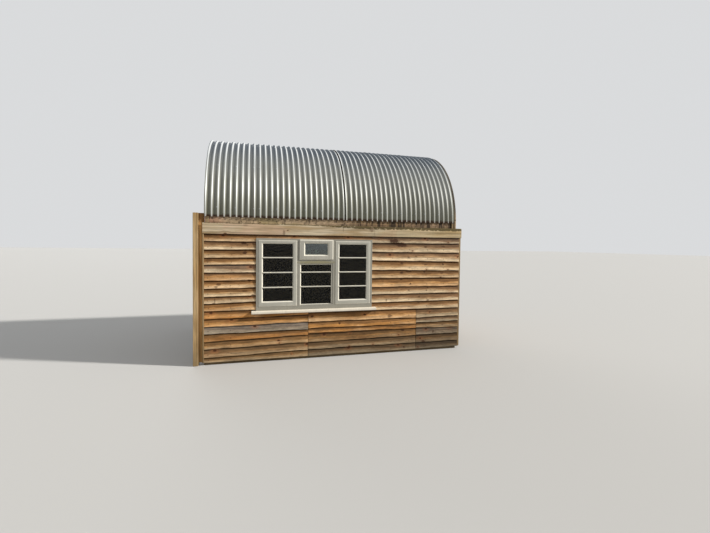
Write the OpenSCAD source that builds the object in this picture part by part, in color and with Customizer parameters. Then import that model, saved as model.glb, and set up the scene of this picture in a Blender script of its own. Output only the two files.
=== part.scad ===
// Shepherds hut: a boarded timber cabin under a barrel roof of curved corrugated sheets.
// Plan frame used by the modules: X runs along the front from the left end of the top board,
// Y runs from the face of the top board to the back, Z runs up from the underside of the bearers.

/* [Body] */
// Length of the boarded body, without its corner pieces
body_len = 3640; // [3000:10:4800]
// Depth over the top boards, front to back
body_depth = 2404; // [2200:1:2500]
// Height of the springing line of the barrel roof
spring_z = 1943; // [1900:1:2000]
// Thickness of the framed front and back walls with their lining
wall_t = 80; // [60:1:110]
// Thickness of the framed end walls with their lining
end_wall_t = 100; // [90:1:130]

/* [Floor] */
// Height of the bearers and end joists
bearer_h = 95; // [70:1:120]
// Width of each bearer and end joist
bearer_w = 75; // [50:1:100]
// Thickness of the floor deck
deck_t = 22; // [18:1:30]

/* [Cladding] */
// Height of the lowest edge of the boards above the ground
clad_base = 35; // [10:1:60]
// Number of rows of lapped boards on the back and the ends
row_count = 17; // [10:1:17]
// Face of each of those boards that shows
row_h = 98.4; // [90:0.2:98.4]
// Where the narrower boards at the left of the front meet the wider ones
board_joint_x = 1350; // [1300:5:2200]
// Thickness of a board at its lower edge
board_butt = 24; // [16:1:30]
// Thickness of a board where the next one laps it
board_tip = 7; // [4:1:12]

/* [Top boards and corners] */
// Height of the smooth board above the cladding
top_board_h = 142; // [100:1:160]
// Thickness of the top boards
top_board_t = 30; // [20:1:30]
// Place of the butt joint in the front top board
top_joint_x = 2285; // [1200:5:2600]
// Width of the corner posts
corner_w = 60; // [50:1:80]
// Width of the corner post's face that shows beyond the ends of the boards
corner_nose = 28; // [20:1:40]
// How far that face stands out from the wall behind the boards
nose_out = 8; // [4:1:20]
// Height of the pale post at the left front corner
post_h = 1972; // [1800:1:2050]
// Width of that post
post_w = 62; // [50:1:90]
// Width of the strip that stops the front boards beside the post
end_strip_w = 18; // [15:1:30]
// Depth of that post
post_d = 95; // [70:1:120]
// Width of the dark board set back beside the post
side_board_w = 68; // [50:1:80]

/* [Roof] */
// Radius of the sheets to the crests of the corrugation
roof_r = 1192; // [1180:1:1200]
// Pitch of the corrugation
pitch = 76; // [60:0.5:90]
// Depth of the corrugation
flute = 18; // [12:1:20]
// Thickness of a sheet
sheet_t = 1.5; // [1:0.1:2]
// Left edge of the sheets
roof_x0 = 20; // [0:1:30]
// Right edge of the sheets
roof_x1 = 3590; // [3000:1:3600]
// Number of boards under the sheets
vault_boards = 24; // [16:1:32]
// Thickness of the boards under the sheets
vault_t = 35; // [20:1:45]

/* [Window] */
// Left side of the window frame
win_x = 647; // [400:1:900]
// Underside of the window frame
win_z = 690; // [600:1:760]
// Width of the window frame
win_w = 1616; // [1400:1:1800]
// Height of the window frame
win_h = 968; // [800:1:1000]
// Face width of the outer frame members
stile = 40; // [30:1:60]
// Face width of the two mullions
mullion = 50; // [35:1:60]
// Width of the middle light
mid_w = 453; // [380:1:520]
// Height of the hinged light at the top of the middle
fan_h = 246; // [200:1:280]

/* [Door] */
// Clear width of the doorway in the left end
door_w = 800; // [700:1:850]
// Height of the door head above the ground
door_head_z = 2067; // [1950:1:2100]

/* [Hidden] */

floor_z = bearer_h + deck_t;
clad_top = clad_base + row_count * row_h;
top_board_z1 = clad_top + top_board_h;
// The wall tops sit a little above the cladding, so that the top boards bridge the joint
wall_top = clad_top + 23;
front_y = top_board_t;
back_y = body_depth - top_board_t;
mid_y = body_depth / 2;

// Faces of the front's boards that show, in proportion, from the ground up: 17 rows to the left
// of the joint and 15 to the right of it
left_faces = [78, 106, 98, 91, 98, 101, 97, 104, 90, 105, 97, 103, 104, 92, 104, 108, 97];
right_faces = [94, 109, 116, 65, 91, 128, 114, 119, 105, 128, 119, 134, 129, 135, 87];
even_faces = [for (i = [1 : row_count]) row_h];

// The front's boards run on over the dark board beside the post
end_lap = 18;

// The sill stands furthest forward, and the post and the corner strips furthest out
sill_out = 46;
x_mid = (body_len + corner_w - side_board_w - post_w) / 2;
y_mid = (body_depth - sill_out) / 2;

// Arch boards and gables. Each arch board has a leg in line with the eaves beam,
// and the beams stop short of the legs, with a wider slot at the right end.
arch_t = 20;
right_arch_t = 23;
right_arch_drop = 12;
arch_w = 100;
leg_w = 42;
left_slot = 4;
right_slot = 28;
gable_t = 80;
gable_x0 = roof_x0 + arch_t;
gable_x1 = roof_x1;
beam_x0 = roof_x0 + leg_w + left_slot;
beam_x1 = roof_x1 - leg_w - right_slot;
vault_r = roof_r - flute - sheet_t - 5.5;
vault_step = 180 / vault_boards;
vault_board_w = 2 * (vault_r - vault_t) * tan(vault_step / 2) - 2;
gable_r = (vault_r - vault_t) / cos(vault_step / 2);
arc_fn = 240;

// Each sheet covers a run of crests, with its edge on the slope beyond its last crest.
// The right half of the roof was laid half a pitch out of step with the left half.
first_crest = roof_x0 + 4;
lap = 0.3;
step_out = 0.52;
sheet_lift = sheet_t + 0.2;
eaves_drop = 12;
points_per_pitch = 8;

// Window parts
frame_d = 72;
rail_h = 32;
foot_rail_h = 62;
sash_lip = 8;
sash_proud = 8;
fan_proud = 15;
fan_top_lip = 22;
sash_depth = 36;
bar_depth = 14;
bar_w = 20;
glass_t = 4;
sash_gap = 1.5;
rebate = 8;
fan_z = win_z + win_h - rail_h - fan_h;
transom_h = 60;
side_w = (win_w - 2 * stile - 2 * mullion - mid_w) / 2;
mid_x = win_x + stile + side_w + mullion;
right_x = mid_x + mid_w + mullion;
light_z = win_z + foot_rail_h;
light_h = win_h - rail_h - foot_rail_h;
fixed_h = fan_z - transom_h - light_z;
casement_side = 48;
casement_bottom = 60;
casement_top = 39;
casement_panes = 4;
casement_pane_h = (light_h - casement_bottom - casement_top - (casement_panes - 1) * bar_w) / casement_panes;
fan_side = 70;
fan_bottom = 62;
fan_top = 32;
bead = 16;
bead_y = 8;
fixed_glass_y = 24;
sill_bead = 8;
sill_h = 39;
sill_horn = 57;
sill_fall = 9;
sill_ease = 6;
drip = 8;
stay_w = 10;
stay_below = 30;
stay_above = 100;

// Door parts
jamb = 40;
threshold_t = 24;
door_y0 = mid_y - door_w / 2;
door_z0 = floor_z + threshold_t;
leaf_t = 44;
leaf_x = -10;
leaf_gap = 3;
door_stop_w = 12;
door_stop_d = 25;
door_boards = 6;
groove = 5;
iron_t = 4;
hinge_inset = 6;
hinge_plate_w = 30;
hinge_plate_h = 110;
strap_len = 380;
strap_root_h = 40;
strap_tip_h = 20;
strap_end_r = 16;
hinge_rise = 260;
hinge_fall = 300;
latch_plate_w = 44;
latch_plate_h = 160;
latch_inset = 70;
latch_rise = 940;
handle_rise = 30;
handle_h = 16;
handle_len = 128;
handle_t = 12;
handle_out = 36;

weathered = "#8a7a64";
honey = "#c8a678";
pale_board = "#cdbb92";
damp_board = "#9a8460";
dark_board = "#7d5f38";
painted = "#b4b0a4";
galvanised = "#a8acab";
lining = "#c9ad82";
iron = "#2e2c2a";

// Moves the plan frame so that the origin is under the middle of the hut's box
module place() translate([-x_mid, -y_mid, 0]) children();

// Stands an outline drawn in Y and Z along X
module along_x(x0, x1) translate([x0, 0, 0]) rotate([90, 0, 90]) linear_extrude(x1 - x0) children();

// Stands an outline drawn in X and Z along Y
module along_y(y0, y1) translate([0, y1, 0]) rotate([90, 0, 0]) linear_extrude(y1 - y0) children();

// Turns a section, drawn as radius and X, round the axis of the roof from one eaves to the other
module round_roof(drop = 0) {
    turn = asin(drop / roof_r);
    translate([0, mid_y, spring_z])
        rotate([-turn, 0, 0])
            rotate([90, 0, 90])
                rotate_extrude(angle = 180 + 2 * turn, $fn = arc_fn) children();
}

// Stands an outline drawn in plan between two heights
module along_z(z0, z1) translate([0, 0, z0]) linear_extrude(z1 - z0) children();

// A box between two corners
module block(low, high) translate(low) cube(high - low);

// Sum of the first n numbers of a list
function sum_of(list, n) = n == 0 ? 0 : list[n - 1] + sum_of(list, n - 1);

// Height of lap line i of a stack of boards that share the cladding's height in proportion to their faces
function lap_line(faces, i) =
    clad_base + (clad_top - clad_base) * sum_of(faces, i) / sum_of(faces, len(faces));

// Outline of a stack of lapped boards: depth out from the wall, and height
function lapped_outline(faces) = concat(
    [[0, clad_base]],
    [for (i = [0 : len(faces) - 1], edge = [0, 1])
        [edge == 0 ? board_butt : board_tip, lap_line(faces, i + edge)]],
    [[0, clad_top]]
);

// Radius of the crests and troughs at x, counted from a crest at x_crest
function flute_r(x, x_crest) = roof_r - flute / 2 + flute / 2 * cos(360 * (x - x_crest) / pitch);

// Section of one corrugated sheet, from x0 to x1
function sheet_outline(x0, x1, x_crest, lift) =
    let (n = round((x1 - x0) / pitch * points_per_pitch))
    let (xs = [for (i = [0 : n]) x0 + (x1 - x0) * i / n])
    concat(
        [for (x = xs) [flute_r(x, x_crest) + lift, x]],
        [for (i = [n : -1 : 0]) [flute_r(xs[i], x_crest) + lift - sheet_t, xs[i]]]
    );

// One curved sheet over crests first to last, of a run whose first crest is at x_crest
module curved_sheet(x_crest, first, last, lift) {
    x0 = max(roof_x0, x_crest + first * pitch);
    x1 = min(roof_x1, x_crest + last * pitch);
    color(galvanised) place() round_roof(eaves_drop) polygon(sheet_outline(x0, x1, x_crest, lift));
}

module floor_end_joists() color(damp_board) place() {
    for (x = [0, body_len - bearer_w])
        block([x, front_y, 0], [x + bearer_w, back_y, bearer_h]);
}

module floor_bearers() color(damp_board) place() {
    step = (back_y - front_y - bearer_w) / 3;
    for (i = [0 : 3])
        block([bearer_w, front_y + i * step, 0],
              [body_len - bearer_w, front_y + i * step + bearer_w, bearer_h]);
}

module floor_deck() color(lining) place()
    block([0, front_y, bearer_h], [body_len, back_y, floor_z]);

module front_wall() color(lining) place() difference() {
    block([0, front_y, floor_z], [body_len, front_y + wall_t, wall_top]);
    block([win_x, front_y - 1, win_z - sill_h], [win_x + win_w, front_y + wall_t + 1, win_z + win_h]);
}

module back_wall() color(lining) place()
    block([0, back_y - wall_t, floor_z], [body_len, back_y, wall_top]);

module left_end_wall() color(lining) place() {
    block([0, front_y + wall_t, floor_z], [end_wall_t, door_y0 - jamb, wall_top]);
    block([0, door_y0 + door_w + jamb, floor_z], [end_wall_t, back_y - wall_t, wall_top]);
}

module right_end_wall() color(lining) place()
    block([body_len - end_wall_t, front_y + wall_t, floor_z], [body_len, back_y - wall_t, wall_top]);

module front_eaves_beam() color(weathered) place()
    block([beam_x0, front_y, wall_top], [beam_x1, front_y + wall_t, spring_z]);

module back_eaves_beam() color(weathered) place()
    block([beam_x0, back_y - wall_t, wall_top], [beam_x1, back_y, spring_z]);

// Packs out the end boards below the gable, and stops short of the ends of the eaves beams
module left_end_plate() color(weathered) place() difference() {
    union() {
        block([0, front_y, wall_top], [roof_x0, back_y, top_board_z1]);
        block([0, front_y + wall_t, wall_top], [gable_x0, back_y - wall_t, top_board_z1]);
    }
    block([-1, door_y0 - jamb, wall_top - 1], [gable_x0 + 1, door_y0 + door_w + jamb, top_board_z1 + 1]);
}

module right_end_plate() color(weathered) place()
    block([gable_x1, front_y, wall_top], [body_len, back_y, top_board_z1]);

// A gable stands between the beams and carries the boards of the vault on its flats
module gable(x0) {
    arch = [for (i = [0 : vault_boards])
        [mid_y - gable_r * cos(i * vault_step), spring_z + gable_r * sin(i * vault_step)]];
    along_x(x0, x0 + gable_t) polygon(concat(
        [[back_y - wall_t, spring_z], [back_y - wall_t, wall_top]],
        [[front_y + wall_t, wall_top], [front_y + wall_t, spring_z]],
        arch
    ));
}

module left_gable() color(lining) place() difference() {
    gable(gable_x0);
    block([gable_x0 - 1, door_y0 - jamb, wall_top - 1],
          [gable_x0 + gable_t + 1, door_y0 + door_w + jamb, door_head_z + jamb]);
}

module right_gable() color(lining) place() gable(gable_x1 - gable_t);

// A leg at each eaves stands on the wall, just behind the face of the beam
module arch_legs(x0) {
    set_back = 1;
    for (y = [front_y + set_back, back_y - wall_t])
        block([x0, y, wall_top], [x0 + leg_w, y + wall_t - set_back, spring_z]);
}

module left_arch_board() color(pale_board) place() {
    round_roof() translate([vault_r - arch_w, roof_x0]) square([arch_w, arch_t]);
    arch_legs(roof_x0);
}

// The right arch board stands just beyond the sheets and runs down to the end plate
module right_arch_board() color(pale_board) place() {
    outer = roof_r - right_arch_drop;
    round_roof() translate([outer - arch_w, roof_x1]) square([arch_w, right_arch_t]);
    for (y = [mid_y - outer, mid_y + outer - arch_w])
        block([roof_x1, y, top_board_z1], [roof_x1 + right_arch_t, y + arch_w, spring_z]);
    arch_legs(roof_x1 - leg_w);
}

module roof_boards() color(damp_board) place() {
    for (i = [0 : vault_boards - 1])
        translate([gable_x0, mid_y, spring_z])
            rotate([-(i + 0.5) * vault_step, 0, 0])
                translate([0, -vault_r, -vault_board_w / 2])
                    cube([gable_x1 - gable_x0, vault_t, vault_board_w]);
}

module roof_sheet_1() curved_sheet(first_crest, -1, 8 + lap, 0);
module roof_sheet_2() curved_sheet(first_crest, 8 - lap, 16 + lap, sheet_lift);
module roof_sheet_3() curved_sheet(first_crest, 16 - lap, 24.25, 0);
module roof_sheet_4() curved_sheet(first_crest + (24 + step_out) * pitch, -0.25, 7 + lap, 0);
module roof_sheet_5() curved_sheet(first_crest + (24 + step_out) * pitch, 7 - lap, 15 + lap, sheet_lift);
module roof_sheet_6() curved_sheet(first_crest + (24 + step_out) * pitch, 15 - lap, 24, 0);

module front_cladding() color(honey) place() difference() {
    translate([0, front_y, 0]) {
        along_x(end_strip_w - end_lap, board_joint_x) mirror([1, 0]) polygon(lapped_outline(left_faces));
        along_x(board_joint_x, body_len + corner_w - corner_nose)
            mirror([1, 0]) polygon(lapped_outline(right_faces));
    }
    block([win_x, -1, win_z - 1], [win_x + win_w, front_y + 1, win_z + win_h]);
    block([win_x - sill_horn, -1, win_z - sill_h], [win_x + win_w + sill_horn, front_y + 1, win_z]);
}

module back_cladding() color(honey) place()
    along_x(corner_nose - corner_w, body_len + corner_w - corner_nose)
        translate([back_y, 0]) polygon(lapped_outline(even_faces));

module left_end_cladding() color(honey) place() difference() {
    along_y(post_d - 5, back_y + board_butt - corner_w) mirror([1, 0]) polygon(lapped_outline(even_faces));
    block([-board_butt - 1, door_y0 - jamb, floor_z], [1, door_y0 + door_w + jamb, clad_top + 1]);
}

module right_end_cladding() color(honey) place()
    along_y(front_y - board_butt + corner_w, back_y + board_butt - corner_w)
        translate([body_len, 0]) polygon(lapped_outline(even_faces));

// The front top board is in two lengths, and its right end has an eased upper corner
module front_top_boards() color(pale_board) place() {
    ease = 14;
    right = body_len + corner_w;
    block([-end_lap, 0, clad_top], [top_joint_x - 1, top_board_t, top_board_z1]);
    along_y(0, top_board_t) polygon(concat(
        [[top_joint_x + 1, top_board_z1], [top_joint_x + 1, clad_top], [right, clad_top]],
        [for (a = [0 : 15 : 90]) [right - ease + ease * cos(a), top_board_z1 - ease + ease * sin(a)]]
    ));
}

module back_top_boards() color(pale_board) place() {
    joint = body_len / 2;
    block([-corner_w, back_y, clad_top], [joint - 1, body_depth, top_board_z1]);
    block([joint + 1, back_y, clad_top], [body_len + corner_w, body_depth, top_board_z1]);
}

module end_top_boards() color(pale_board) place() {
    block([body_len, front_y, clad_top], [body_len + top_board_t, back_y, top_board_z1]);
    block([-top_board_t, post_d - 5, clad_top], [0, door_y0 - jamb, top_board_z1]);
    block([-top_board_t, door_y0 + door_w + jamb, clad_top], [0, back_y, top_board_z1]);
}

module left_corner_post() color(pale_board) place()
    block([-side_board_w - post_w, 0, 0], [-side_board_w, post_d, post_h]);

module left_corner_board() color(dark_board) place()
    block([-side_board_w, post_d - 50, clad_base], [0, post_d - 5, post_h]);

// A corner post: the boards of the long side run onto its face and stop at its nose
module corner_post() along_z(clad_base, clad_top) {
    square([corner_w, corner_w - board_butt]);
    translate([corner_w - corner_nose, -nose_out]) square([corner_nose, nose_out + 1]);
}

// Three corner posts, and the narrow strip that stops the front boards at the left corner
module corner_strips() color(pale_board) place() {
    translate([body_len, front_y]) corner_post();
    translate([body_len, back_y]) mirror([0, 1, 0]) corner_post();
    translate([0, back_y]) mirror([0, 1, 0]) mirror([1, 0, 0]) corner_post();
    block([-end_lap, front_y - board_butt, clad_base], [end_strip_w - end_lap, front_y, clad_top]);
}

// Outline of a rectangle from a low corner, in X and Z
module pane(x, z, w, h) translate([x, z]) square([w, h]);

module window_frame() color(painted) place() along_y(0, frame_d) difference() {
    pane(win_x, win_z, win_w, win_h);
    for (x = [win_x + stile, right_x]) pane(x, light_z, side_w, light_h);
    pane(mid_x, light_z, mid_w, fixed_h);
    pane(mid_x, fan_z, mid_w, fan_h);
}

// The sill slopes in front of the frame and has a drip groove under its nose.
// Its horns run past the frame on the face of the wall.
module window_sill() color("#e6dfd0") place() {
    low = win_z - sill_h;
    section = [
        [-sill_out, low + sill_ease], [-sill_out, win_z - sill_fall], [0, win_z],
        [front_y, win_z], [front_y, low],
        [-2 * drip, low], [-2 * drip, low + drip], [-3 * drip, low + drip], [-3 * drip, low],
        [sill_ease - sill_out, low]
    ];
    along_x(win_x - sill_horn, win_x + win_w + sill_horn) polygon(section);
    block([win_x, front_y, win_z - sill_h], [win_x + win_w, frame_d, win_z]);
}

// Openings of a sash between its bars, count of them one above the other
module sash_panes(x, z, w, h, count) {
    pane_h = (h - (count - 1) * bar_w) / count;
    for (i = [0 : count - 1]) pane(x, z + i * (pane_h + bar_w), w, pane_h);
}

// A sash that laps the face of the frame: a lip outside, a ring inside, bars in front of the glass
module sash(x, z, w, h, sides, bottom, top, top_lip, proud, count) {
    in_w = w - 2 * sides;
    in_h = h - bottom - top;
    along_y(-proud, 0) difference() {
        pane(x - sash_lip, z - sash_lip, w + 2 * sash_lip, h + sash_lip + top_lip);
        sash_panes(x + sides, z + bottom, in_w, in_h, count);
    }
    along_y(0, bar_depth) difference() {
        pane(x + sash_gap, z + sash_gap, w - 2 * sash_gap, h - 2 * sash_gap);
        sash_panes(x + sides, z + bottom, in_w, in_h, count);
    }
    along_y(bar_depth, sash_depth) difference() {
        pane(x + sash_gap, z + sash_gap, w - 2 * sash_gap, h - 2 * sash_gap);
        pane(x + sides - rebate, z + bottom - rebate, in_w + 2 * rebate, in_h + 2 * rebate);
    }
}

module casement(x)
    sash(x, light_z, side_w, light_h, casement_side, casement_bottom, casement_top,
         sash_lip, sash_proud, casement_panes);

module left_casement() color(painted) place() casement(win_x + stile);
module right_casement() color(painted) place() casement(right_x);

module fanlight_sash() color("#d8d4c6") place()
    sash(mid_x, fan_z, mid_w, fan_h, fan_side, fan_bottom, fan_top, fan_top_lip, fan_proud, 1);

// A casement stay held upright on a stud behind the bottom rail
module fanlight_stay() color("#d8d4c6") place() {
    stud_h = 24;
    stud_w = stay_w + 4;
    stud_y = sash_depth + 10;
    x = mid_x + mid_w / 2;
    z = fan_z + fan_bottom / 2;
    block([x - stud_w / 2, sash_depth, z - stud_h / 2], [x + stud_w / 2, stud_y, z + stud_h / 2]);
    block([x - stay_w / 2, stud_y, z - stay_below], [x + stay_w / 2, stud_y + stay_w / 2, z + stay_above]);
}

// Lower edge of a casement's bar, counted from 1 at the lowest
function bar_z(i) = light_z + casement_bottom + i * casement_pane_h + (i - 1) * bar_w;

// Beads round the fixed pane, and two bars in line with the lower bars of the casements
module centre_bars() color(painted) place() along_y(bead_y, fixed_glass_y) difference() {
    edges = [light_z + sill_bead - bar_w, bar_z(1), bar_z(2), light_z + fixed_h - bead];
    pane(mid_x + 0.5, light_z + 0.5, mid_w - 1, fixed_h - 1);
    for (i = [0 : 2])
        pane(mid_x + bead, edges[i] + bar_w, mid_w - 2 * bead, edges[i + 1] - edges[i] - bar_w);
}

module window_glass() color("#3a4248") place() {
    fit = rebate - 1;
    along_y(bar_depth, bar_depth + glass_t) {
        for (x = [win_x + stile, right_x])
            pane(x + casement_side - fit, light_z + casement_bottom - fit,
                 side_w - 2 * casement_side + 2 * fit,
                 light_h - casement_bottom - casement_top + 2 * fit);
        pane(mid_x + fan_side - fit, fan_z + fan_bottom - fit,
             mid_w - 2 * fan_side + 2 * fit, fan_h - fan_bottom - fan_top + 2 * fit);
    }
    along_y(fixed_glass_y, fixed_glass_y + glass_t) pane(mid_x + 1, light_z + 1, mid_w - 2, fixed_h - 2);
}

// Outline of the doorway in Y and Z, made smaller by inset at its sides and head
module doorway(inset) translate([door_y0 + inset, door_z0 - 1])
    square([door_w - 2 * inset, door_head_z + 1 - inset - door_z0]);

// The frame has a stop behind the leaf
module door_frame() color(painted) place() {
    stop_x = leaf_x + leaf_t + 1;
    along_x(-board_butt, end_wall_t) difference() {
        doorway_surround();
        doorway(0);
    }
    along_x(stop_x, stop_x + door_stop_d) difference() {
        doorway_surround();
        doorway(door_stop_w);
    }
}

module doorway_surround() translate([door_y0 - jamb, door_z0])
    square([door_w + 2 * jamb, door_head_z + jamb - door_z0]);

module door_threshold() color(damp_board) place()
    block([-55, door_y0 - jamb, floor_z], [end_wall_t, door_y0 + door_w + jamb, door_z0]);

// Upright boards with a vee at each joint on the outer face
module door_leaf() color(painted) place() {
    y0 = door_y0 + leaf_gap;
    w = door_w - 2 * leaf_gap;
    vees = [for (i = [1 : door_boards - 1], e = [-1, 0, 1])
        [leaf_x + (e == 0 ? groove : 0), y0 + w * i / door_boards + e * groove]];
    translate([0, 0, door_z0 + leaf_gap])
        linear_extrude(door_head_z - door_z0 - 2 * leaf_gap)
            polygon(concat([[leaf_x, y0]], vees,
                           [[leaf_x, y0 + w], [leaf_x + leaf_t, y0 + w], [leaf_x + leaf_t, y0]]));
}

// Tee hinges: a plate on the jamb side and a strap that narrows to a round end
module door_hinges() color(iron) place() {
    y0 = door_y0 + leaf_gap + hinge_inset;
    y1 = y0 + hinge_plate_w;
    y2 = y0 + strap_len;
    for (z = [door_z0 + hinge_rise, door_head_z - hinge_fall])
        translate([0, 0, z]) along_x(leaf_x - iron_t, leaf_x) {
            translate([y0, -hinge_plate_h / 2]) square([hinge_plate_w, hinge_plate_h]);
            polygon([[y1 - 1, -strap_root_h / 2], [y2, -strap_tip_h / 2],
                     [y2, strap_tip_h / 2], [y1 - 1, strap_root_h / 2]]);
            translate([y2, 0]) circle(r = strap_end_r, $fn = 48);
        }
}

// A plate with a round spindle that carries a bar handle
module door_latch() color(iron) place() {
    y = door_y0 + door_w - leaf_gap - latch_inset;
    z = door_z0 + latch_rise;
    handle_z = z + handle_rise;
    handle_x = leaf_x - iron_t - handle_out;
    block([leaf_x - iron_t, y - latch_plate_w / 2, z - latch_plate_h / 2],
          [leaf_x, y + latch_plate_w / 2, z + latch_plate_h / 2]);
    translate([leaf_x - iron_t, y, handle_z])
        rotate([0, -90, 0]) cylinder(h = handle_out, r = handle_h / 2, $fn = 32);
    block([handle_x - handle_t, y + handle_h / 2 - handle_len, handle_z - handle_h / 2],
          [handle_x, y + handle_h / 2, handle_z + handle_h / 2]);
}

floor_end_joists();
floor_bearers();
floor_deck();
front_wall();
back_wall();
left_end_wall();
right_end_wall();
front_eaves_beam();
back_eaves_beam();
left_end_plate();
right_end_plate();
left_gable();
right_gable();
left_arch_board();
right_arch_board();
roof_boards();
roof_sheet_1();
roof_sheet_2();
roof_sheet_3();
roof_sheet_4();
roof_sheet_5();
roof_sheet_6();
front_cladding();
back_cladding();
left_end_cladding();
right_end_cladding();
front_top_boards();
back_top_boards();
end_top_boards();
left_corner_post();
left_corner_board();
corner_strips();
window_frame();
window_sill();
left_casement();
right_casement();
fanlight_sash();
fanlight_stay();
centre_bars();
window_glass();
door_frame();
door_threshold();
door_leaf();
door_hinges();
door_latch();
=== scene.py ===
"""Looks of a shepherds hut: a boarded timber cabin under a barrel roof of curved corrugated sheets.

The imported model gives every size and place, in metres: X runs along the front, Y from the front to
the back and Z up. The lapped boards, the sheets, the beams and the gable boards are made here as
surfaces worked out on grids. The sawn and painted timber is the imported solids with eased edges.
Places along the front are measured from PLAN_X, the body's left corner. The boards and the roof
start PAST_CORNER further left. FRONT_Y lies just inside the front wall's outer face.
"""

import logging
import math
from collections.abc import Callable
from dataclasses import dataclass, field
from enum import Enum

import bmesh
import bpy
import numpy as np
from mathutils import Matrix, Vector


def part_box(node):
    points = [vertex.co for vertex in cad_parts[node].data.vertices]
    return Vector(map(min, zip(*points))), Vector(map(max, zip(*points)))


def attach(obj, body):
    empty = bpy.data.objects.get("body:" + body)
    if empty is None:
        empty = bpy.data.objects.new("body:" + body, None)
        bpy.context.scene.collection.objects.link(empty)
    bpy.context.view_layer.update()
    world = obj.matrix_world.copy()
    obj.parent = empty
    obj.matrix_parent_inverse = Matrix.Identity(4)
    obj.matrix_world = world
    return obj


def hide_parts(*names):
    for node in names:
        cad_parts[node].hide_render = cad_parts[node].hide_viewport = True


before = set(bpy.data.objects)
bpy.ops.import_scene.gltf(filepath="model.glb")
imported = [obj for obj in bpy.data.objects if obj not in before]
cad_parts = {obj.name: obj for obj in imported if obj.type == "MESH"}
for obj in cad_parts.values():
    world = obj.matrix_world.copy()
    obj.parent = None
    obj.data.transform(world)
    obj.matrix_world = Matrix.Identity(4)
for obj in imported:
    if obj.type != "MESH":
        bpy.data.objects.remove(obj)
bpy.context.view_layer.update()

LOG = logging.getLogger("hut")
BODY = "root"
MM = 0.001
PAST_CORNER = 18 * MM
PLAN_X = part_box("front_top_boards")[0].x + PAST_CORNER
FRONT_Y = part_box("front_wall")[0].y + 1 * MM

Colour = tuple[float, float, float, float]
Triple = tuple[float, float, float]
Rect = tuple[float, float, float, float]
Socket = bpy.types.NodeSocket


def shade(red: int, green: int, blue: int) -> Colour:
    """Turns a colour as the eye reads it, 0 to 255, into linear light.

    Args:
        red, green, blue: Its three parts.

    Returns:
        The colour with an alpha of 1.
    """
    def linear(part: int) -> float:
        """Undoes the display curve of one part."""
        x = part / 255
        return x / 12.92 if x <= 0.04045 else ((x + 0.055) / 1.055) ** 2.4

    return linear(red), linear(green), linear(blue), 1.0


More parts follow.
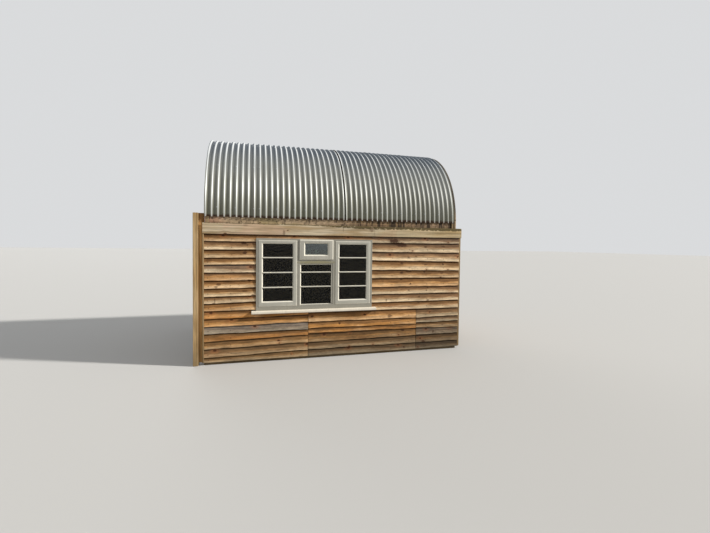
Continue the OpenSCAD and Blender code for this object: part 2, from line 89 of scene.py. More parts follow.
class Graph:
    """A shader node tree that is being built, of a material or of a group."""

    def __init__(self, tree: bpy.types.NodeTree) -> None:
        """Keeps the tree that every other method adds to."""
        self.tree = tree

    def feed(self, socket: Socket, value: object) -> None:
        """Links a socket to another one, or writes a constant on it.

        Args:
            socket: The input to set.
            value: An output socket, or a number, vector or colour.
        """
        if isinstance(value, bpy.types.NodeSocket):
            self.tree.links.new(value, socket)
        else:
            socket.default_value = value

    def add(self, kind: str, inputs: dict[str, object] | None = None,
            **settings: object) -> bpy.types.Node:
        """Adds a node.

        Args:
            kind: The node's type.
            inputs: Values or links by input name.
            settings: Properties of the node.

        Returns:
            The node.
        """
        made = self.tree.nodes.new(kind)
        for key, value in settings.items():
            setattr(made, key, value)
        self.feed_named(made, inputs or {})
        return made

    def feed_named(self, node: bpy.types.Node, values: dict[str, object]) -> None:
        """Feeds a node's inputs by name."""
        for title, value in values.items():
            self.feed(node.inputs[title], value)

    def feed_first(self, node: bpy.types.Node, values: tuple[object, ...]) -> None:
        """Feeds a node's first inputs in their order."""
        for socket, value in zip(node.inputs, values):
            self.feed(socket, value)

    def math(self, operation: str, *values: object) -> Socket:
        """Adds one step of arithmetic and returns its result."""
        made = self.add("ShaderNodeMath", operation=operation)
        self.feed_first(made, values)
        return made.outputs[0]

    def line(self, value: object, slope: object, start: object) -> Socket:
        """Returns value times slope, plus start."""
        return self.math("MULTIPLY_ADD", value, slope, start)

    def vector(self, operation: str, *values: object) -> Socket:
        """Adds one step of vector arithmetic and returns its result, a number for LENGTH."""
        made = self.add("ShaderNodeVectorMath", operation=operation)
        self.feed_first(made, values)
        return made.outputs["Value" if operation == "LENGTH" else "Vector"]

    def split(self, vector: Socket) -> tuple[Socket, ...]:
        """Returns a vector's three parts."""
        return tuple(self.add("ShaderNodeSeparateXYZ", {"Vector": vector}).outputs)

    def join(self, x: object, y: object, z: object) -> Socket:
        """Returns the vector of three parts."""
        return self.add("ShaderNodeCombineXYZ", {"X": x, "Y": y, "Z": z}).outputs[0]

    def mix(self, factor: object, low: object, high: object) -> Socket:
        """Returns the colour low at factor 0 and high at factor 1."""
        made = self.add("ShaderNodeMix", data_type="RGBA")
        for index, value in ((0, factor), (6, low), (7, high)):
            self.feed(made.inputs[index], value)
        return made.outputs[2]

    def layered(self, colour: object, *layers: tuple[object, object]) -> Socket:
        """Lays colours over one another, each as far as its own amount says."""
        for amount, layer in layers:
            colour = self.mix(amount, colour, layer)
        return colour

    def ease(self, value: object, start: float, end: float, low: float = 0.0, high: float = 1.0) -> Socket:
        """Returns low before start and high after end, with a smooth step between them."""
        made = self.add("ShaderNodeMapRange", interpolation_type="SMOOTHSTEP")
        self.feed_first(made, (value, start, end, low, high))
        return made.outputs[0]

    def scaled(self, vector: object, scale: Triple, shift: Triple = (0.0, 0.0, 0.0)) -> Socket:
        """Returns a vector stretched along its axes and then shifted."""
        made = self.add("ShaderNodeMapping", {"Vector": vector, "Scale": scale, "Location": shift})
        return made.outputs[0]

    def dimmed(self, colour: object, level: object) -> Socket:
        """Returns a colour times a number."""
        made = self.add("ShaderNodeVectorMath", {"Scale": level}, operation="SCALE")
        self.feed(made.inputs[0], colour)
        return made.outputs["Vector"]

    def chained(self, operation: str, values: tuple[object, ...]) -> Socket:
        """Takes one step of arithmetic with the first two values, then with its result and the next."""
        whole = values[0]
        for value in values[1:]:
            whole = self.math(operation, whole, value)
        return whole

    def most(self, *values: object) -> Socket:
        """Returns the greatest of several numbers."""
        return self.chained("MAXIMUM", values)

    def product(self, *values: object) -> Socket:
        """Returns the product of several numbers."""
        return self.chained("MULTIPLY", values)

    def total(self, *values: object) -> Socket:
        """Returns the sum of several numbers."""
        return self.chained("ADD", values)

    def noise(self, vector: object, scale: float, detail: float, roughness: float = 0.5) -> Socket:
        """Returns soft noise from 0 to 1 that is most often near a half."""
        made = self.add("ShaderNodeTexNoise", {
            "Vector": vector, "Scale": scale, "Detail": detail, "Roughness": roughness})
        return made.outputs[0]

    def stretched(self, vector: object, scale: Triple, detail: float, roughness: float = 0.5,
                  shift: Triple = (0.0, 0.0, 0.0)) -> Socket:
        """Returns noise whose patches are stretched: so many to a metre along each axis."""
        return self.noise(self.scaled(vector, scale, shift), 1.0, detail, roughness)

    def point(self) -> Socket:
        """Returns the point in the hut's frame, in metres."""
        return self.add("ShaderNodeTexCoord").outputs["Object"]

    def attribute(self, name: str) -> Socket:
        """Returns an attribute that a mesh carries at its points."""
        return self.add("ShaderNodeAttribute", attribute_name=name).outputs["Vector"]

    def bump(self, height: object, distance: float) -> Socket:
        """Returns the normal of a surface raised by height times distance, in metres."""
        made = self.add("ShaderNodeBump", {"Height": height, "Distance": distance, "Strength": 1.0})
        return made.outputs[0]


def group_tree(name: str, setting: str, outputs: tuple[str, ...]) -> tuple[Graph, Socket, Socket]:
    """Starts a shader node group that reads a point and one number, and puts out numbers.

    Args:
        name: The group's name.
        setting: The name of the number.
        outputs: The names of the results.

    Returns:
        The graph, and the sockets of the point and of the number.
    """
    tree = bpy.data.node_groups.new(name, "ShaderNodeTree")
    sockets = [("Point", "INPUT", "NodeSocketVector"), (setting, "INPUT", "NodeSocketFloat")]
    sockets += [(title, "OUTPUT", "NodeSocketFloat") for title in outputs]
    for title, way, kind in sockets:
        tree.interface.new_socket(name=title, in_out=way, socket_type=kind)
    entry = tree.nodes.new("NodeGroupInput")
    return Graph(tree), entry.outputs["Point"], entry.outputs[setting]


def close_group(graph: Graph, results: dict[str, Socket]) -> bpy.types.NodeTree:
    """Links a group's results to its outputs and returns its tree."""
    graph.add("NodeGroupOutput", results)
    return graph.tree


def sawn_grain_group() -> bpy.types.NodeTree:
    """Builds the grain of sawn timber.

    The point's X runs along the grain, in metres. Knots of 6 to 16 mm sit at the cells of a stretched
    Voronoi pattern and pass straight through the board, and the lines of the grain bend away from each
    knot by a share of their distance from it. The input Knots is the share of cells that have one.

    Returns:
        The group's tree, with fine streaks, broad bands, a knot mask, a halo round knots and a height.
    """
    graph, point, knots = group_tree(
        "sawn_grain", "Knots", ("Streaks", "Bands", "Knot", "Halo", "Height"))
    cells_per_metre = (2.6, 8.6, 8.6)
    rings_per_metre, ring_wander = 52.0, 5.5
    spread_out = graph.scaled(point, cells_per_metre)
    cells = graph.add("ShaderNodeTexVoronoi", {"Vector": spread_out, "Scale": 1.0, "Randomness": 0.85})
    away = graph.vector("SUBTRACT", spread_out, cells.outputs["Position"])
    away = graph.scaled(away, tuple(1 / count for count in cells_per_metre))
    chance, size, _ = graph.split(cells.outputs["Color"])
    present = graph.math("LESS_THAN", chance, knots)
    radius = graph.line(size, 10 * MM, 6 * MM)
    ragged = graph.stretched(point, (70.0, 110.0, 110.0), 2.0)
    distance = graph.vector("LENGTH", graph.scaled(away, (0.6, 1.0, 0.0)))
    reach = graph.total(graph.math("DIVIDE", distance, radius), graph.line(ragged, 0.9, -0.45))
    knot = graph.product(graph.ease(reach, 0.65, 1.2, 1.0, 0.0), present)
    halo = graph.product(graph.ease(reach, 0.9, 4.0, 1.0, 0.0), present)
    pushed = graph.vector("MULTIPLY", away, graph.join(0.0, graph.product(halo, 0.75), 0.0))
    bent = graph.vector("SUBTRACT", point, pushed)
    wander = graph.stretched(bent, (1.1, 5.0, 5.0), 2.0)
    _, across, deep = graph.split(bent)
    rings = graph.total(graph.product(graph.total(across, deep), rings_per_metre),
                        graph.product(wander, ring_wander))
    bands = graph.line(graph.math("SINE", graph.product(rings, 2.2)), 0.5, 0.5)
    fine = graph.stretched(bent, (3.5, 210.0, 210.0), 4.0, 0.6)
    broad = graph.stretched(bent, (1.3, 48.0, 48.0), 3.0, 0.6)
    streaks = graph.line(fine, 0.5, graph.product(broad, 0.5))
    saw = graph.stretched(point, (330.0, 9.0, 9.0), 1.0)
    raised = graph.total(graph.product(fine, 0.6), graph.product(bands, 0.25), graph.product(saw, 0.25))
    height = graph.math("SUBTRACT", raised, graph.product(knot, 0.4))
    return close_group(graph, {
        "Streaks": streaks, "Bands": bands, "Knot": knot, "Halo": halo, "Height": height})


def weather_group() -> bpy.types.NodeTree:
    """Builds the marks that rain and ground leave on the hut.

    The point is in metres in the hut's frame. Splash is strongest at the ground and ends in a ragged
    line. Blotch is a soft patch pattern, and Runs is a pattern of narrow upright streaks.

    Returns:
        The group's tree.
    """
    graph, point, splash_height = group_tree("weather", "Splash height", ("Splash", "Blotch", "Runs"))
    _, _, up = graph.split(point)
    unevenness = 0.5
    ragged = graph.line(graph.noise(point, 5.0, 4.0, 0.6), unevenness, up)
    share = graph.math("DIVIDE", graph.math("SUBTRACT", ragged, unevenness / 2), splash_height)
    blotch = graph.ease(graph.stretched(point, (1.3, 1.3, 2.6), 4.0, 0.6), 0.4, 0.68)
    runs = graph.ease(graph.stretched(point, (34.0, 34.0, 1.1), 3.0, 0.55), 0.5, 0.75)
    return close_group(graph, {
        "Splash": graph.ease(share, 0.0, 1.0, 1.0, 0.0), "Blotch": blotch, "Runs": runs})


class Axis(Enum):
    """The way that the grain of a piece runs, as the order in which the frame's axes are read."""

    X = "xzy"
    Y = "yzx"
    Z = "zxy"
    Z_END = "zyx"


class Finishes:
    """The node groups that finishes share, and the materials made so far."""

    def __init__(self) -> None:
        """Builds each shared group once."""
        self.grain = sawn_grain_group()
        self.weather = weather_group()
        self.made: dict[str, bpy.types.Material] = {}

    @staticmethod
    def placed(graph: Graph, tree: bpy.types.NodeTree, values: dict[str, object]) -> dict[str, Socket]:
        """Places a group in a material and returns its outputs by name."""
        node = graph.add("ShaderNodeGroup", values, node_tree=tree)
        return {out.name: out for out in node.outputs}

    def grained(self, graph: Graph, point: Socket, knots: float) -> dict[str, Socket]:
        """Places the grain group and returns its outputs by name."""
        return self.placed(graph, self.grain, {"Point": point, "Knots": knots})

    def weathered(self, graph: Graph, splash_height: float) -> dict[str, Socket]:
        """Places the weather group on the hut's own frame and returns its outputs by name."""
        return self.placed(graph, self.weather, {
            "Point": graph.point(), "Splash height": splash_height})


def along_grain(graph: Graph, axis: Axis) -> Socket:
    """Returns the point in the hut's frame with its first part along the grain."""
    parts = dict(zip("xyz", graph.split(graph.point())))
    return graph.join(*(parts[letter] for letter in axis.value))


@dataclass(frozen=True)
class Mark:
    """A stain or a large knot: its middle on the front, half width and half height in mm, and depth."""

    x: float
    z: float
    wide: float
    high: float
    depth: float = 0.85

    def mask(self, graph: Graph, ragged: Socket) -> Socket:
        """Returns how much of the mark lies on a point, in an oval with a ragged rim."""
        wide, high = self.wide * MM, self.high * MM
        middle = (-(PLAN_X + self.x * MM) / wide, 0.0, -self.z * MM / high)
        oval = graph.scaled(graph.point(), (1 / wide, 0.0, 1 / high), middle)
        reach = graph.line(ragged, 1.5, graph.math("SUBTRACT", graph.vector("LENGTH", oval), 0.75))
        return graph.ease(reach, 0.6, 1.3, self.depth, 0.0)


def marked(graph: Graph, marks: tuple[Mark, ...]) -> Socket | float:
    """Works out how much of any of several marks lies on a point of the front.

    Args:
        graph: The material's graph.
        marks: The marks.

    Returns:
        The mask, 0 behind the front wall's face, or a plain 0 where there are no marks.
    """
    if not marks:
        return 0.0
    ragged = graph.noise(graph.point(), 34.0, 3.0, 0.6)
    _, depth, _ = graph.split(graph.point())
    on_front = graph.math("LESS_THAN", depth, FRONT_Y)
    return graph.product(graph.most(*(mark.mask(graph, ragged) for mark in marks)), on_front)


@dataclass(frozen=True)
class Finish:
    """A finish of some of the hut's pieces, which makes one material."""

    name: str

    def ends(self, graph: Graph, groups: Finishes) -> dict[str, object]:
        """Works out what feeds the Principled node: values or links by input name."""
        raise NotImplementedError

    def material(self, finishes: Finishes) -> bpy.types.Material:
        """Builds the material, keeps it among the finishes by its name, and returns it."""
        made = bpy.data.materials.new(self.name)
        made.use_nodes = True
        graph = Graph(made.node_tree)
        graph.feed_named(made.node_tree.nodes["Principled BSDF"], self.ends(graph, finishes))
        finishes.made[self.name] = made
        return made


@dataclass(frozen=True)
class LappedFinish(Finish):
    """Waney-edged softwood, pale low on the face and browner towards the lap above, darkest right under
    it: painted shade.

    The boards' mesh carries two attributes and a map. The first, tone, is the board's level, its
    silvering and its honey tint, which turns rusty above 1. The second, face, is the height's share
    of the face and the distances along and up from the nearest nail. The map, board, is along and up.

    Attributes:
        knots: Share of the grain's cells that have a knot.
        lap_shade_share: How much of the lapped colour, a painted shade, shows.
        splash_height: How high the damp from the ground reaches.
        relief: Height of the grain.
    """

    name: str = "lapped_board"
    bleached: Colour = shade(232, 206, 168)
    # The middle and lapped colours are painted shade towards the lap above, and the under colour is
    # painted shade right under it.
    middle: Colour = shade(186, 146, 100)
    lapped: Colour = shade(126, 88, 50)
    under: Colour = shade(66, 40, 18)
    honey: Colour = shade(200, 142, 76)
    rusty: Colour = shade(158, 96, 54)
    silver: Colour = shade(136, 132, 126)
    damp: Colour = shade(82, 70, 48)
    knot: Colour = shade(62, 34, 14)
    knots: float = 0.3
    lap_shade_share: float = 0.85
    splash_height: float = 0.75
    gloss: float = 0.25
    relief: float = 1.6 * MM
    marks: tuple[Mark, ...] = ()

    def ends(self, graph: Graph, groups: Finishes) -> dict[str, object]:
        """Works out what feeds the Principled node.

        Args:
            graph: The material's graph.
            groups: The shared node groups.

        Returns:
            Values or links by input name.
        """
        point = graph.add("ShaderNodeUVMap", uv_map="board").outputs[0]
        light, silvered, warm = graph.split(graph.attribute("tone"))
        share, nail_along, nail_up = graph.split(graph.attribute("face"))
        grain = groups.grained(graph, point, self.knots)
        weather = groups.weathered(graph, self.splash_height)
        wander = graph.stretched(point, (1.6, 9.0, 1.0), 5.0, 0.65)
        height = graph.total(share, graph.line(wander, 0.9, -0.45))
        # Paler low on the face and browner higher up, towards the lap above: painted shade.
        colour = graph.mix(graph.ease(height, 0.18, 0.5), self.bleached, self.middle)
        patch = graph.stretched(point, (1.7, 9.0, 1.0), 4.0, 0.6, (3.0, 7.0, 0.0))
        tinted = graph.product(graph.math("MINIMUM", warm, 1.0), graph.ease(patch, 0.3, 0.55, 0.55, 1.0))
        beyond_honey = graph.math("SUBTRACT", warm, 1.0)
        reddened = graph.most(graph.ease(patch, 0.56, 0.7, 0.0, 0.5),
                              graph.product(beyond_honey, graph.ease(patch, 0.34, 0.5, 0.6, 1.0)))
        # Mask of a dark line right under the lap above: painted shade.
        shaded = graph.line(wander, 0.16, graph.math("SUBTRACT", share, 0.08))
        flecks = graph.stretched(point, (17.0, 62.0, 1.0), 4.0, 0.7, (1.0, 4.0, 0.0))
        # The lapped layer and the first under layer are painted shade; the last layer darkens random
        # flecks.
        colour = graph.layered(
            colour, (tinted, self.honey), (reddened, self.rusty),
            (graph.ease(height, 0.46, 0.6, 0.0, self.lap_shade_share), self.lapped),
            (graph.ease(shaded, 0.76, 0.88, 0.0, 0.8), self.under),
            (graph.product(silvered, 0.85), self.silver),
            (graph.product(weather["Splash"], 0.6), self.damp),
            (graph.product(grain["Halo"], 0.35), self.rusty),
            (graph.ease(flecks, 0.56, 0.7, 0.0, 0.5), self.under))
        mottle = graph.stretched(point, (6.0, 24.0, 1.0), 5.0, 0.7, (9.0, 2.0, 0.0))
        level = graph.product(
            graph.ease(mottle, 0.36, 0.62, 1.2, 0.82), graph.ease(grain["Streaks"], 0.38, 0.6, 0.62, 1.12),
            graph.line(grain["Bands"], 0.16, 0.9), graph.line(weather["Blotch"], -0.16, 1.06), light)
        nail = graph.vector("LENGTH", graph.join(nail_along, graph.product(nail_up, 0.8), 0.0))
        dark = graph.most(graph.product(grain["Knot"], 0.88), graph.ease(nail, 3 * MM, 11 * MM, 0.4, 0.0),
                          marked(graph, self.marks))
        return {
            "Base Color": graph.mix(dark, graph.dimmed(colour, level), self.knot),
            "Roughness": graph.line(grain["Streaks"], 0.2, 0.7),
            "Specular IOR Level": self.gloss,
            "Normal": graph.bump(grain["Height"], self.relief)}


@dataclass(frozen=True)
class TimberFinish(Finish):
    """Sawn or planed timber with its grain along one axis of the hut.

    Attributes:
        pale, deep: Colours of its paler and of its deeper patches.
        knots: Share of the grain's cells that have a knot.
        contrast: How far the streaks of the grain darken it.
        soil: How much of the dirt shows.
        splash_height: How high the dirt from the ground reaches.
        relief: Height of the grain.
    """

    axis: Axis
    pale: Colour
    deep: Colour
    knot: Colour = shade(84, 54, 28)
    soiled: Colour = shade(92, 80, 54)
    knots: float = 0.2
    contrast: float = 0.3
    soil: float = 0.3
    splash_height: float = 0.5
    gloss: float = 0.25
    relief: float = 0.8 * MM
    marks: tuple[Mark, ...] = ()

    def ends(self, graph: Graph, groups: Finishes) -> dict[str, object]:
        """Works out what feeds the Principled node.

        Args:
            graph: The material's graph.
            groups: The shared node groups.

        Returns:
            Values or links by input name.
        """
        point = along_grain(graph, self.axis)
        grain = groups.grained(graph, point, self.knots)
        weather = groups.weathered(graph, self.splash_height)
        patch = graph.stretched(point, (1.6, 12.0, 12.0), 4.0, 0.6)
        colour = graph.mix(graph.ease(patch, 0.38, 0.66), self.pale, self.deep)
        colour = graph.mix(graph.product(grain["Halo"], 0.5), colour, self.deep)
        colour = self.toned(graph, colour)
        level = graph.product(
            graph.ease(grain["Streaks"], 0.38, 0.6, 1 - self.contrast, 1.06),
            graph.line(grain["Bands"], self.contrast * 0.4, 1 - self.contrast * 0.2))
        soil = graph.most(weather["Splash"], graph.product(weather["Runs"], weather["Blotch"]))
        colour = graph.mix(graph.product(soil, self.soil), colour, self.soiled)
        dark = graph.most(graph.product(grain["Knot"], 0.8), marked(graph, self.marks))
        return {
            "Base Color": graph.mix(dark, graph.dimmed(colour, level), self.knot),
            "Roughness": graph.line(grain["Streaks"], 0.2, 0.68),
            "Specular IOR Level": self.gloss,
            "Normal": graph.bump(grain["Height"], self.relief)}

    def toned(self, graph: Graph, colour: Socket) -> Socket:
        """Leaves the colour as it is; a finish with more to it changes it here."""
        return colour


@dataclass(frozen=True)
class TopBoardFinish(TimberFinish):
    """A smooth pale board with moss and dirt hanging from its top edge, more of it to the right."""

    edge_z: float = 1.85
    least_hang: float = 14 * MM
    most_hang: float = 70 * MM
    moss: Colour = shade(84, 72, 36)
    pink: Colour = shade(208, 178, 150)
    yellow: Colour = shade(190, 166, 112)

    def toned(self, graph: Graph, colour: Socket) -> Socket:
        """Adds pinkish patches, a yellower right end, and moss that hangs from the top edge.

        Args:
            graph: The material's graph.
            colour: The timber's colour.

        Returns:
            The changed colour.
        """
        point = graph.point()
        along, _, up = graph.split(point)
        patch = graph.stretched(point, (2.1, 2.1, 3.0), 3.0, 0.5, (5.0, 0.0, 2.0))
        colour = graph.mix(graph.ease(patch, 0.5, 0.62, 0.0, 0.7), colour, self.pink)
        colour = graph.mix(graph.ease(along, -0.2, 1.3, 0.0, 0.4), colour, self.yellow)
        clumps = graph.stretched(point, (24.0, 24.0, 30.0), 4.0, 0.65)
        drop = graph.math("SUBTRACT", self.edge_z, up)
        hang = graph.ease(along, -0.5, 0.5, self.least_hang, self.most_hang)
        near = graph.ease(graph.math("DIVIDE", drop, hang), 0.2, 1.25, 1.0, 0.0)
        moss = graph.ease(graph.product(clumps, near), 0.29, 0.42, 0.0, 0.9)
        return graph.mix(moss, colour, self.moss)


@dataclass(frozen=True)
class BeamFinish(TimberFinish):
    """A rough grey-brown beam: pinkish at the left, dark upright ticks, and drips to the right."""

    pink: Colour = shade(196, 154, 126)
    green: Colour = shade(146, 134, 86)
    brown: Colour = shade(128, 96, 68)
    drip: Colour = shade(50, 38, 26)

    def toned(self, graph: Graph, colour: Socket) -> Socket:
        """Adds the tints along the beam and the upright ticks and drips.

        Args:
            graph: The material's graph.
            colour: The timber's colour.

        Returns:
            The changed colour.
        """
        point = graph.point()
        along, _, _ = graph.split(point)
        patch = graph.stretched(point, (3.2, 3.2, 6.0), 4.0, 0.6)
        ticks = graph.stretched(point, (30.0, 30.0, 13.0), 4.0, 0.75)
        wide = graph.stretched(point, (13.0, 13.0, 2.0), 3.0, 0.6)
        drips = graph.product(graph.ease(wide, 0.46, 0.56), graph.ease(along, 0.0, 0.6, 0.1, 0.9))
        return graph.layered(
            colour, (graph.ease(along, -1.45, -1.7, 0.0, 0.9), self.pink),
            (graph.ease(patch, 0.5, 0.64, 0.0, 0.5), self.green),
            (graph.ease(along, -0.9, 0.6, 0.0, 0.6), self.brown),
            (graph.most(graph.ease(ticks, 0.5, 0.66, 0.0, 0.85), drips), self.drip))


@dataclass(frozen=True)
class ArchFinish(TimberFinish):
    """A weathered board round the roof's end, paler at its legs."""

    leg: Colour = shade(186, 160, 122)
    pale_z: float = 1.93
    dark_z: float = 2.19

    def toned(self, graph: Graph, colour: Socket) -> Socket:
        """Pales the colour towards the legs."""
        _, _, up = graph.split(graph.point())
        return graph.mix(graph.ease(up, self.pale_z, self.dark_z, 0.85, 0.0), colour, self.leg)


@dataclass(frozen=True)
class SideBoardFinish(TimberFinish):
    """A stained board, darker towards its top above the eaves: painted shade."""

    painted_top_shade: Colour = shade(120, 84, 48)
    top_shade_start_z: float = 1.8
    top_shade_full_z: float = 1.88

    def toned(self, graph: Graph, colour: Socket) -> Socket:
        """Darkens the colour towards the top, a painted shade."""
        _, _, up = graph.split(graph.point())
        return graph.mix(graph.ease(up, self.top_shade_start_z, self.top_shade_full_z, 0.0, 0.8), colour, self.painted_top_shade)


@dataclass(frozen=True)
class GableFinish(TimberFinish):
    """Upright boards, each lighter or darker than the next by the tone that its mesh carries."""

    spread: float = 1.5

    def toned(self, graph: Graph, colour: Socket) -> Socket:
        """Dims the colour by the board's tone, whose distance from 1 is widened by the spread."""
        light, _, _ = graph.split(graph.attribute("tone"))
        return graph.dimmed(colour, graph.line(light, self.spread, 1 - self.spread))


@dataclass(frozen=True)
class LiningFinish(TimberFinish):
    """Planed lining indoors, and dark felt on the walls' outer faces behind the boards, which also darkens
    the gaps between boards as painted shade.
    """

    felt_and_gap_shade: Colour = shade(44, 42, 40)
    skin: float = 3 * MM

    def toned(self, graph: Graph, colour: Socket) -> Socket:
        """Darkens what lies at the walls' outer faces, and so the gaps between boards: painted shade."""
        low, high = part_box("left_end_wall")[0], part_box("right_end_wall")[1]
        middle, half = (low + high) / 2, (high - low) / 2
        away = graph.vector("ABSOLUTE", graph.vector("SUBTRACT", graph.point(), tuple(middle)))
        across, deep, _ = graph.split(away)
        outside = graph.most(graph.math("GREATER_THAN", across, half.x - self.skin),
                             graph.math("GREATER_THAN", deep, half.y - self.skin))
        return graph.mix(outside, colour, self.felt_and_gap_shade)


@dataclass(frozen=True)
class PaintFinish(Finish):
    """Brushed paint on timber, with grime and a soft sheen, paler where the bead attribute says so: a
    painted highlight on bevels and bars.
    """

    colour: Colour
    grime: Colour = shade(104, 98, 76)
    dirt: float = 0.35
    roughness: float = 0.48
    relief: float = 0.3 * MM
    splash_height: float = 0.3
    # Colour of the marks: a painted olive shadow.
    fanlight_shadow: Colour = shade(140, 132, 84)
    fresh: Colour = shade(232, 228, 214)
    marks: tuple[Mark, ...] = ()

    def ends(self, graph: Graph, groups: Finishes) -> dict[str, object]:
        """Works out what feeds the Principled node.

        Args:
            graph: The material's graph.
            groups: The shared node groups.

        Returns:
            Values or links by input name.
        """
        point = graph.point()
        weather = groups.weathered(graph, self.splash_height)
        speckle = graph.ease(graph.noise(point, 60.0, 5.0, 0.7), 0.52, 0.72)
        faded = graph.stretched(point, (5.0, 5.0, 9.0), 4.0, 0.6)
        run_down = graph.product(weather["Runs"], graph.ease(faded, 0.42, 0.62))
        dirt = graph.product(graph.most(graph.product(speckle, 0.4), run_down), self.dirt)
        bead, _, _ = graph.split(graph.attribute("bead"))
        # Paler paint on bevels and bars: painted highlight.
        colour = graph.layered(
            self.colour, (marked(graph, self.marks), self.fanlight_shadow), (bead, self.fresh), (dirt, self.grime))
        return {
            "Base Color": graph.dimmed(colour, graph.ease(faded, 0.3, 0.7, 0.93, 1.04)),
            "Roughness": graph.line(faded, 0.25, self.roughness - 0.1),
            "Normal": graph.bump(graph.noise(point, 160.0, 2.0), self.relief)}


@dataclass(frozen=True)
class ZincFinish(Finish):
    """Weathered galvanised steel: paler strips on one flank as painted highlight, grimy and rusty at the
    eaves.

    A narrow paler strip right of each crest stands in for the sun's highlight, and the flank past it is
    darkened and the far flank lightened: painted highlight and painted shade. The sheets' edge attribute
    holds the distance from the sheet's side, from its end, and the phase of the wave, which is 0 at a
    crest.

    Attributes:
        bright, slate: Colours of the strips high up, a painted highlight, and of the bluish dark between
            them there, painted shade and sky reflection.
        highlight_deg: Phase of the painted highlight strip's middle.
        painted_shade_deg: Phase where the painted shade is darkest.
        eaves: Height of the eaves.
        metal: Metallic of the clean parts.
        relief: Height of the fine bumps.
    """

    name: str = "galvanised_sheet"
    zinc: Colour = shade(188, 192, 193)
    dull: Colour = shade(172, 177, 178)
    bright: Colour = shade(226, 230, 232)
    trough: Colour = shade(150, 152, 147)
    crown_shade: Colour = shade(72, 85, 98)
    grime: Colour = shade(99, 97, 72)
    rust: Colour = shade(62, 34, 16)
    highlight_deg: float = 60
    painted_shade_deg: float = 112
    eaves: float = 1.93
    metal: float = 0.3
    roughness: float = 0.42
    gloss: float = 0.3
    relief: float = 0.2 * MM

    @staticmethod
    def facing(graph: Graph, phase: Socket, degrees: float) -> Socket:
        """Returns the cosine of the phase's distance from an angle, 1 at that angle of every wave."""
        return graph.math("COSINE", graph.math("SUBTRACT", phase, math.radians(degrees)))

    def ends(self, graph: Graph, groups: Finishes) -> dict[str, object]:
        """Works out what feeds the Principled node.

        Args:
            graph: The material's graph.
            groups: The shared node groups.

        Returns:
            Values or links by input name.
        """
        point = graph.point()
        _, _, up = graph.split(point)
        to_side, to_end, phase = graph.split(graph.attribute("edge"))
        # A paler strip right of each crest is a painted highlight, and the flank just past it painted
        # shade.
        highlight_strip = self.facing(graph, phase, self.highlight_deg)
        shaded_flank = self.facing(graph, phase, self.painted_shade_deg)
        streak = graph.stretched(point, (85.0, 2.2, 2.2), 4.0, 0.6)
        cloud = graph.noise(point, 2.4, 4.0, 0.6)
        flecks = graph.stretched(point, (40.0, 14.0, 14.0), 4.0, 0.7)
        high = graph.ease(graph.line(cloud, 0.3, up), self.eaves + 0.7, self.eaves + 1.3)
        reach = graph.line(high, 0.2, graph.line(streak, 0.2, highlight_strip))
        # Everywhere off the strips takes the dust colour, which carries the painted shade.
        dust_and_shade_share = graph.ease(reach, 1.06, 0.92)
        # Bluish dark towards the crown: painted shade and sky reflection.
        dust_and_shade = graph.mix(high, self.trough, self.crown_shade)
        # Darker just past each strip and lighter on the far flank: painted shade and painted light.
        dust_and_shade = graph.dimmed(dust_and_shade, graph.ease(shaded_flank, -0.6, 0.9, 1.16, 0.5))
        low = graph.ease(graph.line(cloud, 0.6, up), self.eaves + 0.25, self.eaves + 1.15, 0.8, 0.0)
        grimed = graph.product(
            low, graph.ease(streak, 0.3, 0.6, 0.7, 1.0), graph.ease(highlight_strip, 0.3, 0.9, 1.0, 0.45))
        end_rust = graph.product(
            graph.ease(highlight_strip, 0.6, 0.9, 1.0, 0.2),
            graph.ease(graph.line(flecks, -60 * MM, to_end), -22 * MM, 12 * MM, 1.0, 0.0))
        side_rust = graph.product(
            graph.ease(to_side, 2 * MM, 16 * MM, 0.7, 0.0), graph.ease(cloud, 0.45, 0.6),
            graph.ease(up, self.eaves + 0.3, self.eaves + 0.9, 1.0, 0.1))
        rusted = graph.most(end_rust, side_rust)
        colour = graph.mix(graph.ease(streak, 0.35, 0.65), self.dull, self.zinc)
        # The bright colour shows only on the strips near the crown: painted highlight.
        colour = graph.layered(
            colour, (graph.product(high, 0.8), self.bright), (graph.product(dust_and_shade_share, 0.95), dust_and_shade),
            (grimed, self.grime), (graph.product(rusted, 0.9), self.rust))
        marred = graph.most(rusted, graph.product(grimed, 0.5), graph.product(dust_and_shade_share, 0.4))
        rough = graph.line(streak, 0.16, self.roughness - 0.08)
        return {
            "Base Color": colour,
            "Metallic": graph.line(marred, -0.9 * self.metal, self.metal),
            "Roughness": graph.total(rough, graph.product(marred, 0.3)),
            "Specular IOR Level": self.gloss,
            "Normal": graph.bump(graph.noise(point, 190.0, 2.0), self.relief)}


@dataclass(frozen=True)
class GlassFinish(Finish):
    """Window glass, whose index of refraction sets how much of the sky it shows."""

    tint: Colour
    ior: float = 1.28
    roughness: float = 0.02

    def ends(self, graph: Graph, groups: Finishes) -> dict[str, object]:
        """Returns the plain values of clear glass."""
        return {"Base Color": self.tint, "Roughness": self.roughness, "IOR": self.ior,
                "Metallic": 0.0, "Transmission Weight": 1.0}


@dataclass(frozen=True)
class IronFinish(Finish):
    """Black painted iron with worn, faintly rusty patches."""

    name: str = "black_iron"
    paint: Colour = shade(40, 38, 36)
    rust: Colour = shade(92, 58, 38)
    relief: float = 0.3 * MM

    def ends(self, graph: Graph, groups: Finishes) -> dict[str, object]:
        """Returns the colour, roughness and fine bumps of the worn paint."""
        point = graph.point()
        worn = graph.ease(graph.noise(point, 45.0, 5.0, 0.7), 0.56, 0.7)
        return {
            "Base Color": graph.mix(graph.product(worn, 0.6), self.paint, self.rust),
            "Roughness": graph.line(worn, 0.3, 0.42),
            "Normal": graph.bump(graph.noise(point, 260.0, 2.0), self.relief)}


